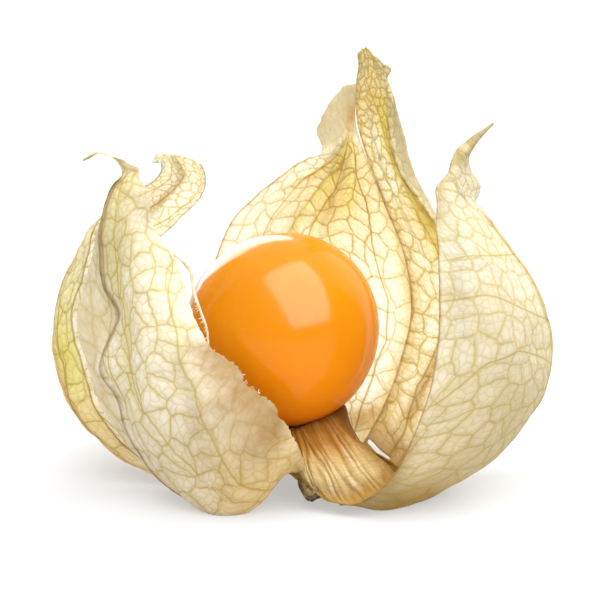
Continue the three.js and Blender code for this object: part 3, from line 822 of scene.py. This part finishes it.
def make_stalk():
    stub = bmesh.new()
    bmesh.ops.create_circle(stub, cap_ends=True, radius=1, segments=STALK_SIDES)
    edge_loop = list(stub.edges)
    loops = [list(stub.verts)]
    for step in range(STALK_RINGS):
        grown = bmesh.ops.extrude_edge_only(stub, edges=edge_loop)["geom"]
        edge_loop = [item for item in grown if isinstance(item, bmesh.types.BMEdge)]
        loops.append([item for item in grown if isinstance(item, bmesh.types.BMVert)])
        edge_loop = [edge for edge in edge_loop if all(vert in loops[-1] for vert in edge.verts)]
    bmesh.ops.contextual_create(stub, geom=edge_loop)
    for step, loop in enumerate(loops):
        t = step / STALK_RINGS
        centre = along(STALK_ROUTE, t)
        turn = Vector((0, 0, 1)).rotation_difference(heading(STALK_ROUTE, t, 0.02))
        swell = 1 + 0.1 * math.exp(-((t - 0.95) / 0.1) ** 2) - 0.3 * math.exp(-(t / 0.2) ** 2)
        for vert in loop:
            angle = math.atan2(vert.co.y, vert.co.x)
            furrow = 1 + 0.09 * math.sin(7 * angle + 2 * t)
            furrow += 0.12 * noise.noise(Vector((angle * 2, t * 6, 1)))
            rough = 0.35 * t ** 8 * noise.noise(Vector((angle * 3, 0, 7)))
            ring_point = Vector((math.cos(angle), math.sin(angle), rough)) * STALK_RADIUS * furrow * swell
            vert.co = placed(turn @ ring_point + centre)
    bmesh.ops.recalc_face_normals(stub, faces=stub.faces)
    made = new_piece("stalk_stub", stub)
    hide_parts("stalk")
    print(made.name, "faces", len(made.data.polygons))
    return made


stalk = make_stalk()

# %% [markdown]
# ## A loose ribbon and the torn fibres
#
# Where the front left lobe was torn, its edge vein has come away as a thin pale ribbon that
# crosses in front of the berry, and fine fibres stand out along the tear. The ribbon is a
# narrow strip along a route of its own. Each fibre is a still narrower strip, placed with a
# fixed random seed, so that the model is the same every time.

# %% Torn ribbon and fibres
STRAND_WALL = 0.06
RIBBON_HALF_WIDTH = 0.17
RIBBON_ROUTE = [Vector(point) for point in (
    (-12.9, -6.8, 25.5), (-12, -7, 24.9), (-11.1, -7.4, 23.7), (-10.8, -8, 22), (-10.1, -8.8, 20.1),
    (-9.5, -9.6, 18.6), (-9.3, -10.5, 17.1))]
RIBBON_FIBRES = 12
EDGE_FIBRES = 14
FIBRE_HALF_WIDTH = 0.045


def narrow_strip(strands, route, half_width, rows):
    """Add one thin strip along a route to the mesh; it tapers towards its end."""
    made = bmesh.ops.create_grid(strands, x_segments=1, y_segments=rows, size=0.5)["verts"]
    for vert in made:
        side, t = math.copysign(1, vert.co.x), vert.co.y + 0.5
        flat_side = heading(route, t, 0.05).cross(Vector((0, 1, 0))).normalized()
        vert.co = along(route, t) + flat_side * side * half_width * (1.05 - 0.6 * t * t)


def edge_point(name, v, seed, depth):
    """Point on a lobe's right-hand edge, where it is torn back."""
    lobe = LOBES[name]
    row = [along([Vector(point) for point in rib], v) for rib in lobe["ribs"]]
    place = across(row, 1 - torn(v, seed, depth), lobe.get("crease"))
    return pulled(place, 1, v, lobe["pulls"])


def make_torn_pieces():
    dice = random.Random(5)
    strands = bmesh.new()
    for layer in ("Lobe", "Paper"):
        strands.loops.layers.uv.new(layer)
    narrow_strip(strands, RIBBON_ROUTE, RIBBON_HALF_WIDTH, 80)
    for number in range(RIBBON_FIBRES):
        start = along(RIBBON_ROUTE, 0.5 + 0.45 * (number + dice.random()) / RIBBON_FIBRES)
        sideways = Vector((dice.uniform(-0.5, -0.2), -0.1, dice.uniform(-0.5, -0.1)))
        bend = start + sideways * 0.5 + Vector((0, -0.1, dice.uniform(-0.1, 0.1)))
        narrow_strip(strands, [start, bend, start + sideways], FIBRE_HALF_WIDTH, 5)
    for number in range(EDGE_FIBRES):
        v = dice.uniform(0.2, 0.56)
        start = edge_point("sepal_front_left", v, 2, TEAR_DEPTH)
        sideways = Vector((dice.uniform(0.05, 0.2), dice.uniform(-0.1, 0.0), dice.uniform(-0.2, 0.3)))
        bend = start + sideways * 0.6 + Vector((0, 0, dice.uniform(-0.08, 0.08)))
        narrow_strip(strands, [start - sideways, bend, start + sideways], dice.uniform(0.03, 0.07), 5)
    for vert in strands.verts:
        vert.co = placed(vert.co)
    made = new_piece("torn_ribbon", strands)
    thicken(made, STRAND_WALL)
    print(made.name, "faces", len(made.data.polygons))
    return made


ribbon = make_torn_pieces()

# %% [markdown]
# ## Small helpers for node trees
#
# A material is a chain of small steps. These helpers place one step each and take either a
# number or another node's output, so that a formula reads in one line.

# %% Node helpers
def feed(tree, socket, value):
    """Give a socket its value: a link to another node's output, or a plain number or colour."""
    if isinstance(value, bpy.types.NodeSocket):
        tree.links.new(value, socket)
    else:
        socket.default_value = value


def set_up(tree, step, values):
    """Feed several inputs of one node by their names."""
    for name, value in values.items():
        feed(tree, step.inputs[name], value)


def work_out(tree, kind, operation, first, second):
    step = tree.nodes.new(kind)
    step.operation = operation
    feed(tree, step.inputs[0], first)
    feed(tree, step.inputs[1], second)
    return step.outputs[0]


def maths(tree, operation, first, second=0.0):
    return work_out(tree, "ShaderNodeMath", operation, first, second)


def vector_maths(tree, operation, first, second=(0, 0, 0)):
    return work_out(tree, "ShaderNodeVectorMath", operation, first, second)


def ramp(tree, value, start, end, low=0.0, high=1.0):
    """Smooth step from low to high while the value goes from start to end."""
    step = tree.nodes.new("ShaderNodeMapRange")
    step.interpolation_type = "SMOOTHSTEP"
    set_up(tree, step, {"Value": value, "From Min": start, "From Max": end, "To Min": low, "To Max": high})
    return step.outputs["Result"]


def blend(tree, factor, first, second, mode="MIX"):
    """The first colour, mixed with or multiplied by the second by the factor."""
    step = tree.nodes.new("ShaderNodeMix")
    step.data_type = "RGBA"
    step.blend_type = mode
    feed(tree, step.inputs[0], factor)
    feed(tree, step.inputs[6], first)
    feed(tree, step.inputs[7], second)
    return step.outputs[2]


def grain(tree, place, scale, detail=2.0, roughness=0.5):
    """Soft noise read at a place; its output `Fac` is grey and `Color` points any way."""
    step = tree.nodes.new("ShaderNodeTexNoise")
    set_up(tree, step, {"Vector": place, "Scale": scale, "Detail": detail, "Roughness": roughness})
    return step.outputs


def split(tree, vector):
    step = tree.nodes.new("ShaderNodeSeparateXYZ")
    feed(tree, step.inputs[0], vector)
    return step.outputs


def drawn_out(tree, place, scale, rotation=(0, 0, 0)):
    """The place turned and stretched, so that the grain read from it runs one way."""
    step = tree.nodes.new("ShaderNodeMapping")
    set_up(tree, step, {"Vector": place, "Scale": scale, "Rotation": rotation})
    return step.outputs["Vector"]


def cell_walls(tree, place, scale):
    """Distance to the nearest wall between two cells, counted in cells."""
    step = tree.nodes.new("ShaderNodeTexVoronoi")
    step.voronoi_dimensions = "2D"
    step.feature = "DISTANCE_TO_EDGE"
    set_up(tree, step, {"Vector": place, "Scale": scale, "Randomness": 0.85})
    return step.outputs["Distance"]


def flat_map(tree, name):
    """One of the two maps of a sheet, `Lobe` or `Paper`."""
    step = tree.nodes.new("ShaderNodeUVMap")
    step.uv_map = name
    return step.outputs["UV"]


def stored(tree, name):
    """What the mesh stores under a name, such as its Tint."""
    step = tree.nodes.new("ShaderNodeAttribute")
    step.attribute_name = name
    return step.outputs


def colour(code):
    """Linear colour with alpha from a painter's hex code."""
    parts = [int(code[k:k + 2], 16) / 255 for k in (1, 3, 5)]
    parts = [p / 12.92 if p <= 0.04045 else ((p + 0.055) / 1.055) ** 2.4 for p in parts]
    return (*parts, 1.0)


# %% [markdown]
# ## Light on thin paper
#
# Paper, the foot and the torn fibres are all thin enough for light to come through. Each of
# them mixes a Principled shader, for what the surface returns, with a Translucent one, for
# the light from behind. One function ends all three materials in the same way.

# %% Light on thin paper
PAPER_ROUGHNESS = 0.6


def new_material(name):
    material = bpy.data.materials.new(name)
    material.use_nodes = True
    return material, material.node_tree


def dress(piece, material):
    piece.data.materials.clear()
    piece.data.materials.append(material)


def raise_bump(tree, height, depth, strength=1.0):
    """The normal of a surface raised by the height; the depth is in millimetres."""
    bump = tree.nodes.new("ShaderNodeBump")
    set_up(tree, bump, {"Height": height, "Distance": depth * MM, "Strength": strength})
    return bump.outputs["Normal"]


def let_light_through(tree, sheet, share, specular=0.25, normal=None):
    """End a thin material; the share is how much of its light comes from behind."""
    front = tree.nodes.new("ShaderNodeBsdfPrincipled")
    set_up(tree, front, {
        "Base Color": sheet, "Roughness": PAPER_ROUGHNESS, "Specular IOR Level": specular})
    behind = tree.nodes.new("ShaderNodeBsdfTranslucent")
    set_up(tree, behind, {"Color": sheet})
    both = tree.nodes.new("ShaderNodeMixShader")
    both.inputs[0].default_value = share
    for place, shader in ((1, front), (2, behind)):
        tree.links.new(shader.outputs[0], both.inputs[place])
        if normal is not None:
            tree.links.new(normal, shader.inputs["Normal"])
    out = tree.nodes.new("ShaderNodeOutputMaterial")
    tree.links.new(both.outputs[0], out.inputs["Surface"])


# %% [markdown]
# ## The vein group
#
# A sepal's veins come in sizes. A few ribs run from foot to tip, and between them lies a net
# whose large cells hold smaller ones. Side veins leave a rib at a slant, so the cells beside
# it are drawn out along that slant. The group measures everything in the flattened sheet's
# millimetres, so a cell has the same size everywhere. Voronoi textures give the cells, since
# their distance to the edge draws walls of an even width, and noise bends the walls. The
# group puts out masks only, and each paper chooses its own colours.

# %% Vein group
CELL_KINDS = {      # how many fit across a large cell, and the width of their walls
    "large": (1.0, 0.17),
    "inner": (2.6, 0.11),
    "tiny": (6.5, 0.05),
}
SIDE_SLANT = 0.35


def stroke(tree, distance, thin, soft):
    """A line where the distance is small, as wide as thin and fading out at soft."""
    return maths(tree, "SUBTRACT", 1.0, ramp(tree, distance, thin, soft))


def bending(tree, place, scale, detail):
    """Noise that points any way, to bend lines with."""
    cloud = grain(tree, place, scale, detail)["Color"]
    return vector_maths(tree, "SUBTRACT", cloud, (0.5, 0.5, 0.5))


def build_vein_group():
    group = bpy.data.node_groups.new("husk veins", "ShaderNodeTree")
    ports = group.interface
    for name in ("Lobe", "Paper", "Way To Vein"):
        ports.new_socket(name, in_out="INPUT", socket_type="NodeSocketVector")
    for name, usual in (("Cell Size", 2.9), ("Tip Shrink", 1.5)):
        ports.new_socket(name, in_out="INPUT", socket_type="NodeSocketFloat").default_value = usual
    for name in ("Ribs", "Net", "Fine Net", "Cells", "Rim"):
        ports.new_socket(name, in_out="OUTPUT", socket_type="NodeSocketFloat")
    given = group.nodes.new("NodeGroupInput").outputs
    result = group.nodes.new("NodeGroupOutput")

    broad = bending(group, given["Paper"], 0.1, 2.0)
    small = bending(group, given["Paper"], 0.75, 1.0)
    lobe = split(group, given["Lobe"])
    flat = split(group, given["Paper"])
    from_middle = maths(group, "SUBTRACT", lobe["X"], 0.5)
    width = maths(group, "DIVIDE", flat["X"], maths(group, "ADD", from_middle, 1e-4))
    width = maths(group, "MINIMUM", maths(group, "ABSOLUTE", width), 40.0)
    sway = vector_maths(group, "MULTIPLY", broad, (1.6, 1.6, 1.6))
    swayed = vector_maths(group, "ADD", given["Way To Vein"], sway)
    ways = split(group, vector_maths(group, "ABSOLUTE", swayed))
    off_rib = maths(group, "MINIMUM", maths(group, "MINIMUM", ways["X"], ways["Y"]), ways["Z"])
    slim = ramp(group, lobe["Y"], 0.05, 0.95, 0.13, 0.07)
    ribs = stroke(group, maths(group, "DIVIDE", off_rib, slim), 0.3, 1.5)

    toward_tip = maths(group, "MULTIPLY", maths(group, "POWER", lobe["Y"], 3.0), given["Tip Shrink"])
    closer = maths(group, "ADD", 1.0, toward_tip)
    closer_sum = maths(group, "ADD", 1.0, maths(group, "MULTIPLY", toward_tip, 0.25))
    climb = maths(group, "SUBTRACT", flat["Y"], maths(group, "MULTIPLY", off_rib, SIDE_SLANT))
    drawn = group.nodes.new("ShaderNodeCombineXYZ")
    set_up(group, drawn, {
        "X": maths(group, "MULTIPLY", flat["X"], closer),
        "Y": maths(group, "MULTIPLY", climb, maths(group, "MULTIPLY", closer_sum, 0.85))})
    bent = vector_maths(group, "ADD", drawn.outputs[0],
                        vector_maths(group, "MULTIPLY", broad, (2.2, 2.2, 0.0)))
    bent = vector_maths(group, "ADD", bent, vector_maths(group, "MULTIPLY", small, (0.6, 0.6, 0.0)))

    large_scale = maths(group, "DIVIDE", 1.0, given["Cell Size"])
    large_size = maths(group, "DIVIDE", given["Cell Size"], closer)
    walls = {}
    nets = {}
    for kind, (share, wall_width) in CELL_KINDS.items():
        walls[kind] = cell_walls(group, bent, maths(group, "MULTIPLY", large_scale, share))
        size = maths(group, "DIVIDE", large_size, share)
        nets[kind] = stroke(group, maths(group, "MULTIPLY", walls[kind], size), 0.0, wall_width)
    fine_net = maths(group, "MAXIMUM", nets["inner"], maths(group, "MULTIPLY", nets["tiny"], 0.3))
    cells = maths(group, "ADD", maths(group, "MULTIPLY", ramp(group, walls["large"], 0.0, 0.3), 0.65),
                  maths(group, "MULTIPLY", ramp(group, walls["inner"], 0.0, 0.35), 0.35))
    cells = maths(group, "MULTIPLY", cells, ramp(group, off_rib, 0.0, 0.7, 0.3, 1.0))

    to_edge = maths(group, "SUBTRACT", 0.5, maths(group, "ABSOLUTE", from_middle))
    rim = stroke(group, maths(group, "MULTIPLY", to_edge, width), 0.06, 0.3)
    set_up(group, result, {
        "Ribs": ribs, "Net": nets["large"], "Fine Net": fine_net, "Cells": cells, "Rim": rim})
    return group


def place_veins(tree, values):
    """The masks of the vein group in a material, from the values that its inputs get."""
    veins = tree.nodes.new("ShaderNodeGroup")
    veins.node_tree = vein_group
    set_up(tree, veins, values)
    return veins.outputs


vein_group = build_vein_group()
print("vein masks:", [item.name for item in vein_group.interface.items_tree if item.in_out == "OUTPUT"])

# %% [markdown]
# ## Dry husk paper
#
# The middle of each cell is thinnest and palest, the paper grows warmer towards the veins, and
# every size of vein mixes in its own straw colour. The Tint painted on each lobe, which holds
# its stains and its painted shade, multiplies the result. The bump lets the cells bulge between
# their veins, as dry membrane does, and crinkles the whole sheet a little. Each lobe has a row
# of its own: five colours, the size of its cells in millimetres and how much they shrink
# towards the tip, the strength of the net, the share of light that comes through, and its bulge
# and crinkle. On the front left lobe the pale rim colour is a painted highlight along its edges.

# %% Husk paper material
PAPERS = {
    "sepal_front_left": {
        # painted highlight: this lobe's pale rim colour along its side edges
        "cell": "#f5f3ec", "warm": "#e6dcba", "vein": "#c6b46a", "rib": "#c1b066", "rim": "#f4eedc",
        "cell_size": 2.6, "shrink": 1.5, "net": 0.7, "through": 0.36, "bulge": 0.05, "crinkle": 0.4,
    },
    "sepal_left": {
        "cell": "#ffffff", "warm": "#f8f4e2", "vein": "#ccbe7c", "rib": "#c4b46e", "rim": "#b09a58",
        "cell_size": 2.9, "shrink": 2.2, "net": 0.6, "through": 0.6, "bulge": 0.1, "crinkle": 0.9,
    },
    "sepal_back_left": {
        "cell": "#fffffb", "warm": "#f8f4e7", "vein": "#cbbd80", "rib": "#b9a75c", "rim": "#d8caa0",
        "cell_size": 2.9, "shrink": 2.0, "net": 0.8, "through": 0.62, "bulge": 0.14, "crinkle": 0.9,
    },
    "sepal_back_right": {
        "cell": "#fcf9f1", "warm": "#ede5c8", "vein": "#cabc76", "rib": "#c0b068", "rim": "#d0c296",
        "cell_size": 2.6, "shrink": 2.5, "net": 0.75, "through": 0.62, "bulge": 0.14, "crinkle": 0.9,
    },
    "sepal_right": {
        "cell": "#eceae2", "warm": "#e1d9ba", "vein": "#c8ba78", "rib": "#c6b674", "rim": "#a58f58",
        "cell_size": 2.9, "shrink": 3.5, "net": 0.6, "through": 0.5, "bulge": 0.05, "crinkle": 0.6,
    },
}


def build_paper(name, look):
    material, tree = new_material(name)
    tree.nodes.clear()
    paper_map = flat_map(tree, "Paper")
    tint = stored(tree, "Tint")
    veins = place_veins(tree, {
        "Lobe": flat_map(tree, "Lobe"), "Paper": paper_map,
        "Way To Vein": stored(tree, "Way To Vein")["Vector"],
        "Cell Size": look["cell_size"], "Tip Shrink": look["shrink"]})

    clouds = grain(tree, paper_map, 0.14, 3.0, 0.55)["Fac"]
    mottle = grain(tree, paper_map, 1.9, 3.0, 0.6)["Fac"]
    palest = maths(tree, "MULTIPLY", veins["Cells"], ramp(tree, clouds, 0.3, 0.62, 0.35, 1.0))
    palest = maths(tree, "MULTIPLY", palest, ramp(tree, mottle, 0.3, 0.6, 0.75, 1.0))
    sheet = blend(tree, palest, colour(look["warm"]), colour(look["cell"]))
    for mask, strength, shade in (("Fine Net", 0.3, "vein"), ("Net", look["net"], "vein"),
                                  ("Ribs", 0.75, "rib"), ("Rim", 0.5, "rim")):
        shown = maths(tree, "MULTIPLY", tint["Alpha"], strength)
        sheet = blend(tree, maths(tree, "MULTIPLY", veins[mask], shown), sheet, colour(look[shade]))
    sheet = blend(tree, 1.0, sheet, tint["Color"], "MULTIPLY")

    rumple = maths(tree, "MULTIPLY", grain(tree, paper_map, 1.3, 4.0, 0.6)["Fac"], look["crinkle"])
    swelling = maths(tree, "MULTIPLY", veins["Cells"], tint["Alpha"])
    normal = raise_bump(tree, maths(tree, "ADD", swelling, rumple), look["bulge"])
    let_light_through(tree, sheet, look["through"], normal=normal)
    return material


for name, look in PAPERS.items():
    paper_name = name.replace("sepal_", "husk paper, ").replace("_", " ")
    dress(papers[name], build_paper(paper_name, look))
    print(papers[name].name, "wears", paper_name)

# %% [markdown]
# ## The stained foot
#
# The foot is the toughest part of the husk. It dries tan to dark brown, in streaks that follow
# the pleats away from the stalk. The streaks are noise stretched along the pleats. Pale ridges
# show between them further out, the side away from the opening is duller, and the rim has a
# tan lip, with a darker band before it that is painted shadow where the foot curls up to its edge.

# %% Foot material
def build_foot_material():
    material, tree = new_material("husk foot")
    tree.nodes.clear()
    lobe_map = flat_map(tree, "Lobe")
    veins = place_veins(tree, {"Lobe": lobe_map, "Paper": flat_map(tree, "Paper"), "Cell Size": 2.2})
    around = split(tree, lobe_map)["X"]
    outward = split(tree, lobe_map)["Y"]
    streaks = grain(tree, drawn_out(tree, lobe_map, (46.0, 1.3, 1.0)), 1.0, 4.0, 0.6)["Fac"]

    sheet = blend(tree, ramp(tree, outward, 0.3, 0.65), colour("#be8c3e"), colour("#ccb276"))
    reach = maths(tree, "ADD", streaks, ramp(tree, outward, 0.17, 0.62, 0.22, -0.16))
    sheet = blend(tree, ramp(tree, reach, 0.47, 0.66), sheet, colour("#b07824"))
    pale = maths(tree, "MULTIPLY", ramp(tree, streaks, 0.5, 0.34), ramp(tree, outward, 0.35, 0.6, 0.1, 0.8))
    sheet = blend(tree, pale, sheet, colour("#e8d6ae"))
    sheet = blend(tree, maths(tree, "MULTIPLY", veins["Net"], 0.3), sheet, colour("#8f6a30"))
    sheet = blend(tree, ramp(tree, around, 0.3, 0.42), sheet, colour("#c9b98e"), "MULTIPLY")
    # painted shadow: the darker band where the foot curls up to its rim
    sheet = blend(tree, ramp(tree, outward, 0.76, 0.83, 0.0, 0.6), sheet, colour("#a67a34"))
    sheet = blend(tree, ramp(tree, outward, 0.84, 0.9), sheet, colour("#b08a40"))
    let_light_through(tree, sheet, 0.35, normal=raise_bump(tree, streaks, 0.08))
    return material


dress(foot, build_foot_material())

# %% [markdown]
# ## Fibres
#
# Torn husk fibres are nearly white, with a little straw colour in them, and light passes
# through them as it does through the paper.

# %% Fibre material
def build_fibre_material():
    material, tree = new_material("torn husk fibre")
    tree.nodes.clear()
    place = tree.nodes.new("ShaderNodeTexCoord").outputs["Object"]
    patches = grain(tree, place, 900.0)["Fac"]
    fibre = blend(tree, ramp(tree, patches, 0.35, 0.65), colour("#f6f1e2"), colour("#dccfa6"))
    let_light_through(tree, fibre, 0.55, specular=0.5)
    return material


dress(ribbon, build_fibre_material())

# %% [markdown]
# ## The berry's skin
#
# The skin is smooth, waxy and slightly see-through, so light sinks a little way into the
# flesh. Subsurface gives that glow, and a low roughness gives the clean reflection of the
# lamp. The colour is painted lighter below, for light from the floor, and deeper above, against
# the lamps, with faint clouds and tiny pale dots.

# %% Berry material
def build_berry_material():
    material, tree = new_material("berry skin")
    place = tree.nodes.new("ShaderNodeTexCoord").outputs["Object"]
    height = split(tree, place)["Z"]
    # painted light and shade: lighter towards the bottom and deeper towards the top
    skin = blend(tree, ramp(tree, height, 6 * MM, 24 * MM), colour("#f98e0c"), colour("#ba7202"))
    clouds = grain(tree, place, 150.0, 3.0)["Fac"]
    skin = blend(tree, ramp(tree, clouds, 0.4, 0.7, 0.0, 0.3), skin, colour("#da8408"))
    dots = grain(tree, place, 2600.0, 1.0)["Fac"]
    skin = blend(tree, ramp(tree, dots, 0.62, 0.78, 0.0, 0.12), skin, colour("#f5a430"))
    dimples = grain(tree, place, 900.0)["Fac"]
    pores = maths(tree, "MULTIPLY", grain(tree, place, 3200.0, 1.0)["Fac"], 0.4)
    set_up(tree, tree.nodes["Principled BSDF"], {
        "Base Color": skin,
        "Normal": raise_bump(tree, maths(tree, "ADD", dimples, pores), 0.02, strength=0.5),
        "Roughness": 0.15,
        "Specular IOR Level": 0.2,
        "Subsurface Weight": 0.15,
        "Subsurface Radius": (1.0, 0.25, 0.03),
        "Subsurface Scale": 1.5 * MM})
    return material


dress(berry, build_berry_material())

# %% [markdown]
# ## The dry stalk
#
# A dry stalk is a bundle of fibres. Its grain runs lengthwise, in dark brown and straw brown.

# %% Stalk material
STALK_LEAN = math.radians(42)


def build_stalk_material():
    material, tree = new_material("dry stalk")
    place = tree.nodes.new("ShaderNodeTexCoord").outputs["Object"]
    lengthwise = drawn_out(tree, place, (2600, 2600, 340), rotation=(STALK_LEAN, 0, 0))
    fibres = grain(tree, lengthwise, 1.0, 4.0, 0.65)["Fac"]
    wood = blend(tree, ramp(tree, fibres, 0.35, 0.65), colour("#46321a"), colour("#8a703c"))
    set_up(tree, tree.nodes["Principled BSDF"], {
        "Base Color": wood, "Normal": raise_bump(tree, fibres, 0.12), "Roughness": 0.75})
    return material


dress(stalk, build_stalk_material())

# %% [markdown]
# ## Floor and light
#
# A pale floor runs out far enough to be the whole background. One large soft lamp hangs over
# the front and lights the husk. The soft patch of shine on the berry comes from a second
# lamp, which is only seen in reflections. The room is bright behind the fruit, so that light
# comes through the husk, and dim in front, so that the berry's colour stays deep. Behind
# stand two smaller lamps: one shines through the back lobes, and one is only seen as the
# white rim of the berry. The floor glows a little itself, as a light table does, which keeps
# the shadows faint.

# %% Stage
FLOOR_HALF_WIDTH = 1.6


def build_floor():
    sheet = bmesh.new()
    bmesh.ops.create_grid(sheet, x_segments=1, y_segments=1, size=FLOOR_HALF_WIDTH)
    floor = new_object("floor", sheet)
    white, tree = new_material("pale floor")
    set_up(tree, tree.nodes["Principled BSDF"], {
        "Base Color": (0.3, 0.3, 0.3, 1), "Roughness": 0.9, "Specular IOR Level": 0.0,
        "Emission Color": (1, 1, 1, 1), "Emission Strength": 0.45})
    dress(floor, white)


def hang_lamp(name, direction, distance, size, radiance, mirrored=True, lights=True):
    """A soft lamp aimed at the berry, which may be kept out of reflections, or only be seen in them."""
    width, height = size
    lamp = bpy.data.lights.new(name, "AREA")
    lamp.shape = "RECTANGLE"
    lamp.size = width
    lamp.size_y = height
    lamp.energy = radiance * math.pi * width * height
    made = bpy.data.objects.new(name, lamp)
    ray = Vector(direction).normalized()
    made.location = placed(BERRY_CENTRE) + ray * distance
    made.rotation_euler = ray.to_track_quat("Z", "Y").to_euler()
    made.visible_glossy = mirrored
    made.visible_diffuse = lights
    bpy.context.scene.collection.objects.link(made)


def light_room(behind, front):
    """A world that is bright behind the fruit and dim on the viewer's side."""
    world = bpy.data.worlds.new("studio room")
    world.use_nodes = True
    tree = world.node_tree
    depth = split(tree, tree.nodes.new("ShaderNodeTexCoord").outputs["Generated"])["Y"]
    set_up(tree, tree.nodes["Background"], {
        "Color": (1, 1, 1, 1), "Strength": ramp(tree, depth, -0.5, 0.4, front, behind)})
    bpy.context.scene.world = world


build_floor()
hang_lamp("lamp over the front", (0.15, -0.41, 0.875),
          distance=0.6, size=(0.76, 1.0), radiance=3.8, mirrored=False)
hang_lamp("lamp in the shine", (0.34, -0.47, 0.815),
          distance=0.58, size=(0.62, 0.92), radiance=9.0, lights=False)
hang_lamp("lamp behind the back lobes", (0.5, 0.8, 0.35),
          distance=0.6, size=(0.45, 0.45), radiance=7.4, mirrored=False)
hang_lamp("lamp behind the berry", (-0.4, 0.82, 0.26),
          distance=0.6, size=(0.6, 0.4), radiance=5.5, lights=False)
light_room(behind=1.2, front=0.52)
bpy.context.scene.view_settings.view_transform = "Standard"

# %% [markdown]
# ## The camera
#
# The camera looks down a little, from far enough for a long lens, which keeps the lobes in
# their true proportions.

# %% Camera
CAMERA_RISE = math.radians(15)
CAMERA_DISTANCE = 450 * MM
CAMERA_AIM = placed(Vector((-0.35, 0, 18.9)))
FIELD_WIDTH = 60 * MM
SENSOR_WIDTH = 36

eye = bpy.data.cameras.new("eye")
eye.sensor_width = SENSOR_WIDTH
eye.lens = SENSOR_WIDTH * CAMERA_DISTANCE / FIELD_WIDTH
eye.clip_start = 0.01
camera = bpy.data.objects.new("eye", eye)
back = Vector((0, -math.cos(CAMERA_RISE), math.sin(CAMERA_RISE)))
camera.location = CAMERA_AIM + back * CAMERA_DISTANCE
camera.rotation_euler = (math.pi / 2 - CAMERA_RISE, 0, 0)
bpy.context.scene.collection.objects.link(camera)
bpy.context.scene.camera = camera
print("lens mm", round(eye.lens), "camera at", [round(x, 3) for x in camera.location])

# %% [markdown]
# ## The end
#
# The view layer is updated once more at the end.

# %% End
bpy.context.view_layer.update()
